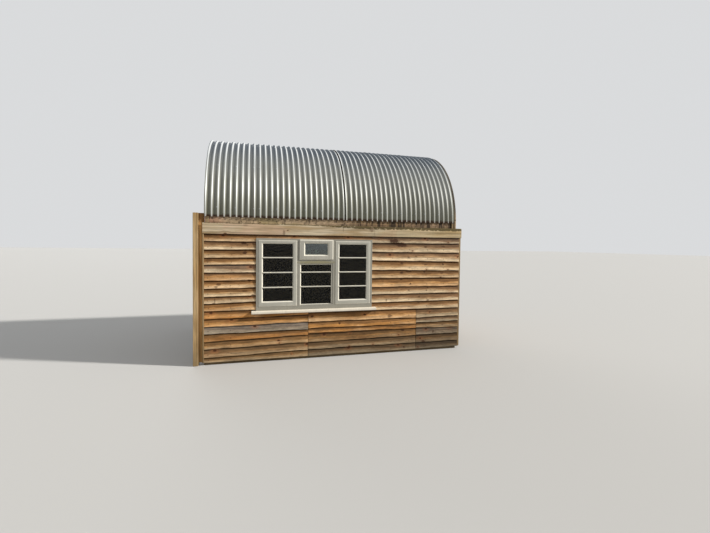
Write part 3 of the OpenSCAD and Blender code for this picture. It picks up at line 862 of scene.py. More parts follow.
@dataclass
class Patch:
    """A surface before it becomes a mesh: points, faces and what the points carry."""

    points: np.ndarray
    faces: list[np.ndarray]
    fields: dict[str, np.ndarray] = field(default_factory=dict)


def joined(patches: list[Patch]) -> Patch:
    """Puts several surfaces into one.

    Args:
        patches: The surfaces, all with the same fields.

    Returns:
        One surface whose faces count the points of those before them.
    """
    starts = np.cumsum([0] + [len(patch.points) for patch in patches[:-1]])
    faces = [face + start for patch, start in zip(patches, starts) for face in patch.faces]
    sides = sorted({face.shape[1] for face in faces})
    return Patch(
        np.concatenate([patch.points for patch in patches]),
        [np.concatenate([face for face in faces if face.shape[1] == count]) for count in sides],
        {key: np.concatenate([patch.fields[key] for patch in patches]) for key in patches[0].fields})


def tube(rings: np.ndarray, fields: dict[str, np.ndarray] | None = None, closed: bool = False) -> Patch:
    """Joins a run of rings with quads, and closes it with a face at each end or with itself.

    Args:
        rings: Points by ring, place on the ring and axis. Every ring has the same count.
        fields: Arrays with the rings' first two dimensions, and a third of any length.
        closed: Whether the last ring is joined to the first.

    Returns:
        The surface, whose quad at ring i and place k joins (i, k), (i, k+1), (i+1, k+1), (i+1, k).
    """
    count, size = rings.shape[:2]
    index = np.arange(count * size).reshape(count, size)
    after = np.roll(index, -1, axis=1)
    quads = np.stack([index, after, np.roll(after, -1, axis=0), np.roll(index, -1, axis=0)], axis=-1)
    faces = [quads.reshape(-1, 4)]
    if not closed:
        faces = [quads[:-1].reshape(-1, 4), np.stack([index[0][::-1], index[-1]])]
    flat = {key: value.reshape(count * size, -1) for key, value in (fields or {}).items()}
    return Patch(rings.reshape(-1, 3), faces, flat)


def volume(patch: Patch) -> float:
    """Sums the signed volumes between the origin and each face's fan of triangles."""
    total = 0.0
    for face in patch.faces:
        first = patch.points[face[:, 0]]
        for k in range(1, face.shape[1] - 1):
            second, third = patch.points[face[:, k]], patch.points[face[:, k + 1]]
            total += float(np.einsum("ij,ij->", first, np.cross(second, third))) / 6
    return total


def outward(patch: Patch) -> Patch:
    """Turns a closed surface's faces round if they point inwards, and returns it."""
    if volume(patch) < 0:
        patch.faces = [face[:, ::-1] for face in patch.faces]
    return patch


def linked(name: str, data: bpy.types.ID) -> bpy.types.Object:
    """Makes an object of a mesh, lamp or camera, at the origin, and links it to the scene."""
    made = bpy.data.objects.new(name, data)
    bpy.context.scene.collection.objects.link(made)
    return made


def mesh_piece(name: str, patch: Patch, smooth_deg: float = 35.0) -> bpy.types.Object:
    """Makes a surface a mesh object at the origin.

    Args:
        name: The piece's name.
        patch: The surface. Its field "map" becomes a UV map named board, and others attributes.
        smooth_deg: Edges that turn more than this stay sharp.

    Returns:
        The object, linked to the scene.
    """
    mesh = bpy.data.meshes.new(name)
    corners = np.concatenate([face.ravel() for face in patch.faces]).astype(np.int32)
    sides = np.concatenate([np.full(len(face), face.shape[1]) for face in patch.faces])
    mesh.vertices.add(len(patch.points))
    mesh.vertices.foreach_set("co", patch.points.astype(np.float32).ravel())
    mesh.loops.add(len(corners))
    mesh.loops.foreach_set("vertex_index", corners)
    mesh.polygons.add(len(sides))
    mesh.polygons.foreach_set("loop_start", (np.cumsum(sides) - sides).astype(np.int32))
    mesh.update(calc_edges=True)
    for key, value in patch.fields.items():
        if key == "map":
            layer = mesh.uv_layers.new(name="board")
            layer.data.foreach_set("uv", value[corners].astype(np.float32).ravel())
        else:
            carried = mesh.attributes.new(key, "FLOAT_VECTOR", "POINT")
            carried.data.foreach_set("vector", value.astype(np.float32).ravel())
    mesh.validate()
    mesh.polygons.foreach_set("use_smooth", np.ones(len(mesh.polygons), dtype=bool))
    mesh.set_sharp_from_angle(angle=math.radians(smooth_deg))
    return linked(name, mesh)


def dress(piece: bpy.types.Object, material: bpy.types.Material, slot: str,
          *nodes: str) -> bpy.types.Object:
    """Gives a new piece its material, its body and the nodes that it stands for.

    Args:
        piece: The new piece.
        material: Its material.
        slot: The record's material slot.
        nodes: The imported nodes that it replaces.

    Returns:
        The piece.
    """
    piece.data.materials.clear()
    piece.data.materials.append(material)
    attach(piece, BODY)
    if nodes:
        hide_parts(*nodes)
    LOG.info("%s: %d faces, slot %s", piece.name, len(piece.data.polygons), slot)
    return piece


def merged_copy(node: str, name: str, edit: Callable[[bmesh.types.BMesh], object]) -> bpy.types.Object:
    """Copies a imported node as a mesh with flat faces, merged from its loose triangles.

    Args:
        node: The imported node's name.
        name: The copy's name.
        edit: What is done to the merged shape.

    Returns:
        The copy, linked to the scene.
    """
    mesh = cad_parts[node].data.copy()
    mesh.name = name
    shape = bmesh.new()
    shape.from_mesh(mesh)
    bmesh.ops.remove_doubles(shape, verts=shape.verts, dist=0.01 * MM)
    edit(shape)
    shape.to_mesh(mesh)
    shape.free()
    if "custom_normal" in mesh.attributes:
        mesh.attributes.remove(mesh.attributes["custom_normal"])
    mesh.polygons.foreach_set("use_smooth", np.zeros(len(mesh.polygons), dtype=bool))
    return linked(name, mesh)


def eased_copy(node: str, width: float) -> bpy.types.Object:
    """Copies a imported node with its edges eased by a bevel.

    Args:
        node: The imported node's name.
        width: Width of the bevel in metres.

    Returns:
        The copy, linked to the scene.
    """
    piece = merged_copy(node, node + "_eased", lambda shape: bmesh.ops.dissolve_limit(
        shape, angle_limit=math.radians(0.5), verts=shape.verts, edges=shape.edges))
    bevel = piece.modifiers.new("eased", "BEVEL")
    bevel.width, bevel.segments = width, 2
    bevel.limit_method, bevel.angle_limit = "ANGLE", math.radians(35)
    bevel.use_clamp_overlap = True
    return piece


def dress_eased(width: float, material: bpy.types.Material, slot: str, *nodes: str) -> None:
    """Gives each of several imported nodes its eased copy, all in one material and slot."""
    for node in nodes:
        dress(eased_copy(node, width), material, slot, node)


def part_copy(node: str, name: str, keep: Callable[[Vector], bool]) -> bpy.types.Object:
    """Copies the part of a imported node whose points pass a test, and returns the copy."""
    return merged_copy(node, name, lambda shape: bmesh.ops.delete(
        shape, geom=[vert for vert in shape.verts if not keep(vert.co)], context="VERTS"))


@dataclass(frozen=True)
class Waves:
    """A wavy line, the sum of a few sines.

    Attributes:
        lengths: Their wave lengths, in the unit of the places.
        heights: Their heights, in the unit of the result.
    """

    lengths: tuple[float, ...]
    heights: tuple[float, ...]

    def at(self, places: np.ndarray, rng: np.random.Generator) -> np.ndarray:
        """Returns the sum of the sines at the places, each sine with a random start."""
        starts = rng.uniform(0, 2 * math.pi, len(self.lengths))
        return sum(height * np.sin(2 * math.pi * places / length + start)
                   for length, height, start in zip(self.lengths, self.heights, starts))


@dataclass(frozen=True)
class Cut:
    """A rectangle of a wall, along it and up, that its boards leave free."""

    start: float
    end: float
    low: float
    high: float


class Side(Enum):
    """A side of the hut: the axis that its boards run along and the one they stand out on."""

    FRONT = (0, 1, -1)
    BACK = (0, 1, 1)
    LEFT = (1, 0, -1)
    RIGHT = (1, 0, 1)


@dataclass(frozen=True)
class Run:
    """Boards one above another between two ends.

    Attributes:
        start, end: Where they start and end along the wall, in metres.
        first, last: Heights of their lap lines at each end, in millimetres, from the lowest edge up.
        level: How light the lowest and the highest boards are.
        wave: How much of the full waviness their edges have.
        looks: Level, silvering and honey tint of single boards, counted from the lowest. A tint
            above 1 also turns the board rusty.
    """

    start: float
    end: float
    first: tuple[float, ...]
    last: tuple[float, ...]
    level: tuple[float, float] = (1.0, 1.0)
    wave: float = 0.6
    looks: dict[int, tuple[float, float, float]] = field(default_factory=dict)

    def line(self, index: int, places: np.ndarray) -> np.ndarray:
        """Height of a lap line at places along the wall: straight between its two ends."""
        share = (places - self.start) / (self.end - self.start)
        return (self.first[index] + (self.last[index] - self.first[index]) * share) * MM


@dataclass
class LappedWall:
    """One wall of lapped waney-edged boards, each a closed solid notched round what is cut from the wall.

    Attributes:
        butt, tip: Depth of a board's face at its lower edge, and where the next row laps it.
        lean: How far its back stands off the wall at its lower edge.
        lap: How far it runs up behind the next row.
        step: Distance between rings along a board.
        least: Least height of a board that a cut leaves.
        wane: Radius of a lower edge, and of one that a cut has left square.
        gap: Least and most that a board's end stands back from its run's, in millimetres.
        edge, waning, swell, cup, ragged: Waviness in millimetres of the lower edge, of its radius,
            of the face at its lower edge and at its middle, and of an end.
        even: Spread of the boards' level.
        silvering, honey: Degrees of each, and the chance of each degree.
        stud, first_stud, last_stud: Distance between studs, and from the wall's start and end.
        nail_up, nail_in: Height of a nail above the lap line, and least distance from an end.
        nail_off: How far a nail strays along, and a row of nails up, in millimetres.
    """

    name: str
    node: str
    side: Side
    seed: int
    runs: tuple[Run, ...]
    cuts: tuple[Cut, ...] = ()
    butt: float = 24 * MM
    tip: float = 7 * MM
    lean: float = 9 * MM
    lap: float = 28 * MM
    step: float = 13 * MM
    least: float = 8 * MM
    wane: tuple[float, float] = (5.5 * MM, 1 * MM)
    gap: tuple[float, float] = (0.5, 3.5)
    edge: Waves = Waves((2.3, 0.97, 0.43, 0.19, 0.083), (2.6, 2.4, 1.9, 1.1, 0.5))
    waning: Waves = Waves((0.7, 0.31, 0.11), (1.5, 1.2, 0.7))
    swell: Waves = Waves((1.3, 0.5), (0.8, 0.5))
    cup: Waves = Waves((0.9, 0.37), (0.5, 0.4))
    ragged: Waves = Waves((0.07, 0.031), (0.6, 0.4))
    even: float = 0.07
    silvering: tuple[tuple[float, ...], ...] = ((0.0, 0.12, 0.3, 0.6), (0.45, 0.3, 0.18, 0.07))
    honey: tuple[tuple[float, ...], ...] = ((0.0, 0.3, 0.8), (0.55, 0.3, 0.15))
    stud: float = 0.28
    first_stud: float = 0.05
    last_stud: float = 0.03
    nail_up: float = 34 * MM
    nail_off: tuple[float, float] = (9, 4)
    nail_in: float = 20 * MM

    def __post_init__(self) -> None:
        """Reads the wall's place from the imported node."""
        low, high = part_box(self.node)
        self.along, self.across, self.way = self.side.value
        self.start, self.end = low[self.along], high[self.along]
        self.face = high[self.across] if self.way < 0 else low[self.across]
        self.top = high.z
        self.rng = np.random.default_rng(self.seed)
        self.nails: list[np.ndarray] = []

    def free(self, place: float, low: float, high: float) -> tuple[float, float] | None:
        """Finds the limits between which a board is left by the cuts.

        Args:
            place: Where on the wall.
            low, high: The board's lower and upper edge.

        Returns:
            The limits round the tallest part, infinite where no cut limits it, or None if too little
            is left.
        """
        parts = [(-math.inf, math.inf)]
        for cut in self.cuts:
            if cut.start < place < cut.end:
                parts = [part for a, b in parts for part in ((a, min(b, cut.low)), (max(a, cut.high), b))]
        sizes = [min(b, high) - max(a, low) for a, b in parts]
        best = int(np.argmax(sizes))
        return parts[best] if sizes[best] > self.least else None

    def boards_of(self, run: Run, row: int) -> list[list[Rect]]:
        """Splits a row of a run into boards.

        Args:
            run: The run.
            row: The row, from 0 at its foot.

        Returns:
            For each board, its stretches as start, end, lower limit and upper limit.
        """
        marks = {run.start, run.end}
        for cut in self.cuts:
            marks |= {mark for mark in (cut.start, cut.end) if run.start < mark < run.end}
        boards: list[list[Rect]] = [[]]
        ordered = sorted(marks)
        for a, b in zip(ordered, ordered[1:]):
            middle = np.array([(a + b) / 2])
            low, high = run.line(row, middle)[0], run.line(row + 1, middle)[0] + self.lap
            limits = self.free(middle[0], low, min(high, self.top))
            if limits is None:
                boards.append([])
            else:
                boards[-1].append((a, b, *limits))
        return [board for board in boards if board]

    def board(self, run: Run, row: int, stretches: list[Rect]) -> Patch:
        """Makes one board.

        Depth out from the wall falls from the butt at the lower edge to the tip where the next row
        laps it, on a straight line, plus a slow swell and a cup of about a millimetre. The lower edge
        wanders as a sum of sines and is rounded by a wane of varying radius. The back leans from the
        tip of the row below to the wall.

        Args:
            run: The run of boards.
            row: The row, from 0 at its foot.
            stretches: The board's stretches as start, end, lower limit and upper limit.

        Returns:
            The board's surface.
        """
        rng = self.rng
        counts = [max(2, int(round((b - a) / self.step)) + 1) for a, b, _, _ in stretches]
        s = np.concatenate([np.linspace(a + 0.1 * MM, b - 0.1 * MM, count)
                            for (a, b, _, _), count in zip(stretches, counts)])
        floor, ceiling = (np.repeat([stretch[k] for stretch in stretches], counts) for k in (2, 3))
        base, line = run.line(row, s), run.line(row + 1, s)
        face = line - base
        low = np.maximum(base, floor)
        high = np.minimum(np.minimum(line + self.lap, ceiling), self.top)
        waney = base >= floor
        edge = run.wave * self.edge.at(s, rng) * MM
        low = np.where(waney & (row > 0), low + edge, low)
        wane = np.where(waney, self.wane[0] + self.waning.at(s, rng) * MM, self.wane[1])
        swell = self.swell.at(s, rng) * MM
        fall = ((self.butt - self.tip) / face)[:, None]

        def front(z: np.ndarray) -> np.ndarray:
            """Depth of the face at height z."""
            return np.maximum(self.butt - fall * np.maximum(z - base[:, None], 0), 2 * MM)

        def back(z: np.ndarray) -> np.ndarray:
            """Depth of the back at height z."""
            share = (z - base[:, None]) / (face + self.lap)[:, None]
            return np.clip(self.lean * (1 - share), 0.2 * MM, self.lean)

        shares = np.array([1.0, 0.82, 0.66, 0.52, 0.38, 0.25, 0.15])
        up = low[:, None] + (high - low)[:, None] * shares
        cup = self.cup.at(s, rng)[:, None] * MM
        out = front(up) + swell[:, None] * (1 - shares) + cup * np.sin(math.pi * shares)
        lip = front(low[:, None])[:, 0] + swell
        rounding = np.stack([low + 0.42 * wane, low + 0.1 * wane, low], axis=1)
        rounding_out = np.stack([lip - 0.1 * wane, lip - 0.42 * wane, lip - 0.95 * wane], axis=1)
        rounding_out = np.maximum(rounding_out, back(low[:, None]) + 1 * MM)
        behind = np.stack([low + 0.3 * MM, (low + high) / 2, high], axis=1)
        heights = np.concatenate([up, rounding, behind], axis=1)
        depths = np.concatenate([out, rounding_out, back(behind)], axis=1)
        depths[:, -1] = np.minimum(depths[:, -1], depths[:, 0] - 0.5 * MM)
        along = np.repeat(s[:, None], heights.shape[1], axis=1)
        ragged = self.ragged.at(heights, rng) * MM
        for index, limit, inward in ((0, run.start, 1), (-1, run.end, -1)):
            if abs(s[index] - limit) < 1 * MM:
                along[index] += inward * rng.uniform(*self.gap) * MM + ragged[index]
        rise = heights - base[:, None]
        share_up = (rise / face[:, None])[..., None]
        face_at = np.concatenate([share_up, self.nail_offsets(s, rise, base, face)], axis=-1)
        return tube(self.placed(along, heights, depths), {
            "map": np.stack([along + rng.uniform(0, 60), rise], axis=-1),
            "tone": np.broadcast_to(self.toned(run, row), (*heights.shape, 3)),
            "face": face_at})

    def placed(self, along: np.ndarray, up: np.ndarray, out: np.ndarray) -> np.ndarray:
        """Turns places along, up and out from the wall into points."""
        points = np.zeros((*along.shape, 3))
        points[..., self.along] = along
        points[..., self.across] = self.face + self.way * out
        points[..., 2] = up
        return points

    def toned(self, run: Run, row: int) -> np.ndarray:
        """Draws a board's level, silvering and honey tint, unless the run names them."""
        share = row / max(len(run.first) - 2, 1)
        height = run.level[0] + (run.level[1] - run.level[0]) * share
        drawn = (self.rng.normal(1.0, self.even), self.rng.choice(self.silvering[0], p=self.silvering[1]),
                 self.rng.choice(self.honey[0], p=self.honey[1]))
        level, silver, honey = run.looks.get(row, drawn)
        return np.array([level * height, silver, honey])

    def nail_offsets(self, s: np.ndarray, rise: np.ndarray, base: np.ndarray,
                     face: np.ndarray) -> np.ndarray:
        """Places a nail at each stud and measures every point's distance from the nearest.

        Args:
            s: Places of the board's rings along the wall.
            rise: Heights of the board's points above its lap line.
            base: Height of the board's lap line at each ring.
            face: Height of the board's face at each ring.

        Returns:
            For each point, its distance along and up from the nearest nail.
        """
        along_off, up_off = self.nail_off
        studs = np.arange(self.start + self.first_stud, self.end - self.last_stud, self.stud)
        studs = studs + self.rng.uniform(-along_off, along_off, len(studs)) * MM
        up = self.nail_up + self.rng.uniform(-up_off, up_off) * MM
        studs = studs[(studs > s[0] + self.nail_in) & (studs < s[-1] - self.nail_in)]
        bases = np.interp(studs, s, base)
        clear = [self.free(place, low, low + up + 6 * MM) == (-math.inf, math.inf)
                 for place, low in zip(studs, bases)]
        studs, bases = studs[clear], bases[clear]
        if len(studs) == 0:
            return np.ones((*rise.shape, 2))
        out = self.butt - (self.butt - self.tip) * up / np.interp(studs, s, face)
        self.nails.append(self.placed(studs, bases + up, out))
        nearest = studs[np.argmin(np.abs(s[:, None] - studs), axis=1)]
        return np.stack([np.repeat((s - nearest)[:, None], rise.shape[1], axis=1), rise - up], axis=-1)

    def build(self, material: bpy.types.Material) -> bpy.types.Object:
        """Makes the wall's boards as one piece and returns it."""
        boards = [outward(self.board(run, row, stretches)) for run in self.runs
                  for row in range(len(run.first) - 1) for stretches in self.boards_of(run, row)]
        return dress(mesh_piece(self.name, joined(boards)), material, "lapped_board", self.node)


def domes(centres: np.ndarray, out: np.ndarray, radius: float, rise: float, sides: int = 7) -> Patch:
    """Makes small domed heads on a surface.

    Each is three rings: radius and height follow the cosine and sine of 0, 20 and 55 degrees round
    the axis out.

    Args:
        centres: The heads' places.
        out: The direction that each head faces.
        radius: Their radius.
        rise: Their height.
        sides: Points round each ring.

    Returns:
        The heads as one closed surface each.
    """
    out = out / np.linalg.norm(out, axis=1, keepdims=True)
    helper = np.where(np.abs(out[:, 2:3]) < 0.9, [[0.0, 0.0, 1.0]], [[1.0, 0.0, 0.0]])
    u = np.cross(out, helper)
    u /= np.linalg.norm(u, axis=1, keepdims=True)
    v = np.cross(out, u)
    turn = np.linspace(0, 2 * math.pi, sides, endpoint=False)
    ring = u[:, None] * np.cos(turn)[:, None] + v[:, None] * np.sin(turn)[:, None]
    levels = [(1.0, -0.4), (1.0, 0.3), (0.62, 0.82)]
    rings = np.stack([centres[:, None] + ring * radius * wide + out[:, None] * rise * up
                      for wide, up in levels], axis=1)
    return outward(joined([tube(one) for one in rings]))


class FrontBoards:
    """What is particular to the front: its runs of boards and its large knots and stains.

    Joints and ends are metres from the body's left corner. A run's row is its ends, the heights of
    its lap lines at each end in millimetres, its level, its wave and its boards' looks. A mark's row
    is its place along and up, its half width and half height in millimetres, and how dark it is.
    """

    FOOT_JOINT = 1.35
    STUD_JOINT = 2.97
    WINDOW_LEFT = 0.647
    WINDOW_RIGHT = 2.263
    END = 3.672
    GAP = 3 * MM

    RUNS = (
        ((0.0, FOOT_JOINT - GAP),
         (35, 102, 206, 304, 406, 501, 604, 705), (35, 123, 233, 332, 410, 511, 611, 705),
         (1.17, 1.18), 0.9,
         {0: (0.9, 0.0, 0.3), 1: (1.0, 0.1, 0.5), 2: (1.05, 0.0, 0.6), 3: (0.98, 0.0, 1.3),
          4: (0.92, 0.8, 0.0), 5: (0.98, 0.0, 0.8), 6: (0.98, 0.0, 1.2)}),
        ((0.0, WINDOW_LEFT),
         (705, 801, 893, 997, 1101, 1205, 1307, 1399, 1501, 1615, 1708),
         (705, 815, 899, 1005, 1103, 1203, 1309, 1401, 1507, 1611, 1708),
         (1.0, 1.0), 0.5,
         {0: (1.0, 0.0, 0.6), 1: (0.92, 0.1, 0.1), 2: (1.02, 0.0, 0.1), 5: (1.02, 0.35, 0.0),
          6: (1.04, 0.0, 0.3), 7: (0.9, 0.0, 0.3), 8: (1.04, 0.1, 0.0), 9: (0.8, 0.0, 0.3)}),
        ((FOOT_JOINT, STUD_JOINT - GAP),
         (35, 127, 229, 350, 419, 510, 645), (35, 131, 240, 354, 416, 509, 637),
         (0.82, 1.14), 0.9,
         {0: (0.87, 0.15, 0.1), 1: (0.92, 0.1, 0.3), 3: (1.06, 0.0, 1.2), 4: (1.14, 0.0, 1.05),
          5: (1.06, 0.0, 0.6)}),
        # These boards are darker towards the foot: partly damp, partly painted shade.
        ((STUD_JOINT, END),
         (35, 129, 247, 354, 431, 509, 636), (35, 129, 244, 341, 435, 511, 638),
         (0.58, 0.92), 0.9,
         {0: (0.8, 0.2, 0.0), 3: (0.9, 0.0, 0.5), 4: (0.85, 0.2, 0.0), 5: (0.92, 0.1, 0.1)}),
        ((FOOT_JOINT, END), (645, 752), (638, 755), (1.0, 1.0), 0.8, {0: (0.96, 0.0, 0.1)}),
        ((WINDOW_LEFT, WINDOW_RIGHT), (1613, 1708), (1620, 1708), (1.0, 1.0), 0.3, {0: (0.9, 0.1, 0.0)}),
        ((WINDOW_RIGHT, END),
         (752, 871, 975, 1106, 1225, 1364, 1488, 1618, 1708),
         (755, 867, 975, 1099, 1209, 1345, 1481, 1619, 1708),
         (1.0, 1.0), 0.5,
         {0: (1.0, 0.1, 0.0), 1: (0.98, 0.1, 0.0), 2: (1.04, 0.0, 0.6), 3: (0.92, 0.0, 0.3),
          4: (1.06, 0.0, 0.1), 5: (1.12, 0.15, 0.0), 6: (0.94, 0.15, 0.0), 7: (0.84, 0.3, 0.0)}),
    )

    MARKS = tuple(Mark(*row) for row in (
        (492, 1592, 30, 22), (503, 1463, 28, 18), (535, 1565, 10, 8), (590, 1392, 45, 14, 0.6),
        (55, 1365, 42, 26, 0.45), (180, 1050, 34, 16, 0.7), (150, 1018, 22, 14, 0.6),
        (280, 1092, 36, 10, 0.7), (565, 1096, 26, 16), (625, 998, 18, 16), (505, 958, 42, 13, 0.6),
        (612, 900, 28, 18, 0.7), (172, 884, 34, 14, 0.7), (130, 845, 10, 30, 0.5),
        (120, 800, 26, 13, 0.7), (500, 860, 55, 20, 0.35), (2600, 1645, 85, 34, 0.95),
        (2655, 1610, 85, 20, 0.9), (2725, 1585, 75, 26, 0.9), (2555, 1668, 70, 16, 0.5),
        (3140, 1665, 22, 14, 0.5), (3105, 1564, 22, 12, 0.7), (3400, 1570, 34, 13, 0.6),
        (2832, 1405, 18, 14, 0.6), (2955, 1425, 18, 10, 0.6), (2725, 1320, 26, 18, 0.7),
        (3400, 1305, 22, 15), (3105, 1300, 24, 14, 0.5), (3445, 1337, 50, 9, 0.8), (3540, 1335, 26, 13),
        (2728, 1182, 28, 18), (2840, 1200, 50, 14, 0.7), (3095, 1188, 20, 12, 0.8),
        (3385, 1170, 36, 13, 0.6), (2722, 1082, 24, 14, 0.8), (2872, 1015, 12, 12, 0.9),
        (2842, 918, 14, 12, 0.6), (3130, 910, 12, 16, 0.6), (3155, 948, 14, 9, 0.6),
        (2490, 780, 12, 20, 0.5), (3010, 815, 16, 12, 0.6), (3150, 762, 22, 14, 0.6),
        (3005, 728, 22, 12, 0.6), (2545, 550, 34, 26, 0.6), (2760, 322, 26, 12), (3090, 142, 34, 12),
        (2780, 70, 16, 14), (3250, 280, 20, 20, 0.6), (1790, 470, 20, 16),
    ))

    def runs(self) -> tuple[Run, ...]:
        """Returns the runs of boards in the hut's frame."""
        return tuple(Run(PLAN_X + ends[0], PLAN_X + ends[1], first, last, level, wave, looks)
                     for ends, first, last, level, wave, looks in self.RUNS)


def even_run(node: str, seed: int) -> Run:
    """Divides a packed wall of boards into rows that are nearly even.

    Args:
        node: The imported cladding's name.
        seed: Seed of the lap lines' small differences.

    Returns:
        The run over the whole wall.
    """
    rows, tilt = 17, 3.0
    low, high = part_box(node)
    along = 1 if "end" in node else 0
    rng = np.random.default_rng(seed)
    even = np.linspace(low.z, high.z, rows + 1) / MM
    spread = rng.uniform(-tilt, tilt, (2, rows + 1))
    spread[:, [0, -1]] = 0
    first, last = (tuple(line) for line in even + spread)
    return Run(low[along], high[along], first, last, (0.85, 1.0), 0.7)


@dataclass
class Cladding:
    """The lapped boards of the four sides and the nails that hold them."""

    nail_radius: float = 2.6 * MM
    nail_rise: float = 1.2 * MM

    def walls(self) -> list[LappedWall]:
        """Sets out the four walls, the front first, with the window and the door cut from them."""
        window, sill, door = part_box("window_frame"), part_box("window_sill"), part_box("door_frame")
        front_cuts = (Cut(window[0].x, window[1].x, sill[0].z, window[1].z),
                      Cut(sill[0].x, sill[1].x, sill[0].z, sill[1].z))
        door_cut = (Cut(door[0].y, door[1].y, 0.0, door[1].z),)
        front = FrontBoards().runs()
        made = [LappedWall("front_boards", "front_cladding", Side.FRONT, 11, front, front_cuts)]
        for name, side, seed, run_seed, cuts in (
                ("back", Side.BACK, 23, 7, ()), ("left_end", Side.LEFT, 37, 8, door_cut),
                ("right_end", Side.RIGHT, 41, 9, ())):
            node = name + "_cladding"
            made.append(LappedWall(name + "_boards", node, side, seed, (even_run(node, run_seed),), cuts))
        return made

    def build(self, finishes: Finishes) -> None:
        """Makes the four walls of boards and their nails.

        Args:
            finishes: The shared node groups and the materials made so far.
        """
        # The back and the ends get a darker copy of the boards' finish, which tones down the lamp on the
        # right end: painted shade.
        plain = LappedFinish(bleached=shade(208, 178, 136), middle=shade(176, 136, 90)).material(finishes)
        front = LappedFinish("front_lapped_board", marks=FrontBoards.MARKS, knots=0.26).material(finishes)
        nails = []
        for wall in self.walls():
            wall.build(front if wall.side is Side.FRONT else plain)
            places = np.concatenate(wall.nails)
            out = np.zeros_like(places)
            out[:, wall.across] = wall.way
            nails.append(domes(places, out, self.nail_radius, self.nail_rise))
        dress(mesh_piece("board_nails", joined(nails)), IronFinish().material(finishes), "black_iron")


@dataclass
class Roof:
    """The curved corrugated sheets with their fixings, and the boards of the two gables.

    Attributes:
        pitch, flute, gauge: Distance from crest to crest, depth of the corrugation, and thickness.
        crest_in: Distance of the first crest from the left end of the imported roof.
        overhang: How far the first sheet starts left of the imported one.
        rise: Height of the roof above its springing line, as a share of its radius.
        step_out: How far the right half's wave is out of step, in pitches.
        left_crests: Whole pitches from the first crest to where the right half is counted from.
        per_pitch, per_arc: Steps of the surface along one pitch, and round the arc.
        ragged: Waviness of the sheets' ends, in millimetres.
        dents_along, dents_round: Dents along the hut, as a share, and round the roof, in millimetres.
        fixing_rows: Angles of the fixings' rows from the front springing line, in degrees.
        fixing_sizes: Radius, rise, sides and seat of a fixing's washer and of its head.
        gable_board: Width, gap, eased edge and thickness of the gables' boards.
        board_even: Spread of their level.
        arch_width, arch_ease: Width and bevel of the arch boards that they end behind.
    """

    pitch: float = 76 * MM
    flute: float = 18 * MM
    gauge: float = 1.2 * MM
    crest_in: float = -14 * MM
    overhang: float = PAST_CORNER
    rise: float = 1.028
    step_out: float = 0.52
    left_crests: int = 24
    per_pitch: int = 16
    per_arc: int = 84
    ragged: Waves = Waves((0.61, 0.23), (0.9, 0.5))
    dents_along: Waves = Waves((0.9, 0.34), (0.7, 0.5))
    dents_round: Waves = Waves((1.4, 0.5), (0.8, 0.5))
    fixing_rows: tuple[float, ...] = (5.0, 34.0, 62.0, 90.0, 118.0, 146.0, 175.0)
    fixing_sizes: tuple[tuple[float, float, int, float], ...] = (
        (10 * MM, 1.4 * MM, 10, 0.0), (5 * MM, 5 * MM, 6, 1 * MM))
    gable_board: tuple[float, ...] = (118 * MM, 2 * MM, 3 * MM, 14 * MM)
    arch_width: float = 98 * MM
    board_even: float = 0.08
    arch_ease: float = 2 * MM

    def __post_init__(self) -> None:
        """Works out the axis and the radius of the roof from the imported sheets."""
        self.boxes = [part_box(f"roof_sheet_{k}") for k in range(1, 7)]
        low, high = self.boxes[0]
        self.axis_y = (low.y + high.y) / 2
        self.radius = (high.y - low.y) / 2
        self.spring = high.z - self.radius
        self.drop = math.asin((self.spring - low.z) / self.radius)
        self.first_crest = low.x + self.crest_in

    def phase(self, x: np.ndarray, sheet: int) -> np.ndarray:
        """Phase of a sheet's wave at x, a whole turn to a pitch, and 0 at a crest."""
        return 2 * math.pi * (x - self.crest_of(sheet)) / self.pitch

    def crest_of(self, sheet: int) -> float:
        """Place of the crest that a sheet's wave is counted from; the right half is out of step."""
        pitches = 0 if sheet < len(self.boxes) // 2 else self.left_crests + self.step_out
        return self.first_crest + pitches * self.pitch

    def lift_of(self, sheet: int) -> float:
        """How far a sheet lies above its neighbours."""
        return self.boxes[sheet][1].z - self.spring - self.radius

    def turned(self, x: np.ndarray, radius: np.ndarray, turn: np.ndarray) -> np.ndarray:
        """Points at x, radius and angle round the roof's axis, from 0 at the front springing line."""
        y = self.axis_y - radius * np.cos(turn)
        z = self.spring + self.rise * radius * np.sin(turn)
        return np.stack(np.broadcast_arrays(x, y, z), axis=-1)

    def sheet(self, k: int, rng: np.random.Generator) -> Patch:
        """Makes one sheet.

        The outer radius is the roof's, less a cosine of the corrugation's pitch and depth, plus the
        sheet's lift, plus dents: a product of two wavy lines, one along the hut and one round it.
        Each end is cut on a slightly wavy line.

        Args:
            k: The sheet, from 0 at the left.
            rng: Source of the dents.

        Returns:
            The sheet's closed surface.
        """
        x0, x1 = self.boxes[k][0].x, self.boxes[k][1].x
        if k == 0:
            x0 -= self.overhang
        count = int(round((x1 - x0) / self.pitch * self.per_pitch)) + 1
        x = np.linspace(x0, x1, count)
        share = np.linspace(0, 1, self.per_arc + 1)[:, None]
        ragged = self.ragged.at(x, rng) * MM / self.radius
        first, last = -self.drop + ragged, math.pi + self.drop + ragged[::-1]
        turn = first + (last - first) * share
        dents = self.dents_along.at(x, rng) * self.dents_round.at(turn, rng) * MM
        phase = self.phase(x, k)
        outer = self.radius - self.flute / 2 * (1 - np.cos(phase)) + self.lift_of(k) + dents
        rings = np.concatenate([
            self.turned(x, outer, turn), self.turned(x, outer - self.gauge, turn)[:, ::-1]], axis=1)
        to_side = np.minimum(x - x0, x1 - x)
        to_end = np.minimum(turn - first, last - turn) * self.radius
        edge = np.stack(np.broadcast_arrays(to_side, to_end, phase), axis=-1)
        return outward(tube(rings, {"edge": np.concatenate([edge, edge[:, ::-1]], axis=1)}))

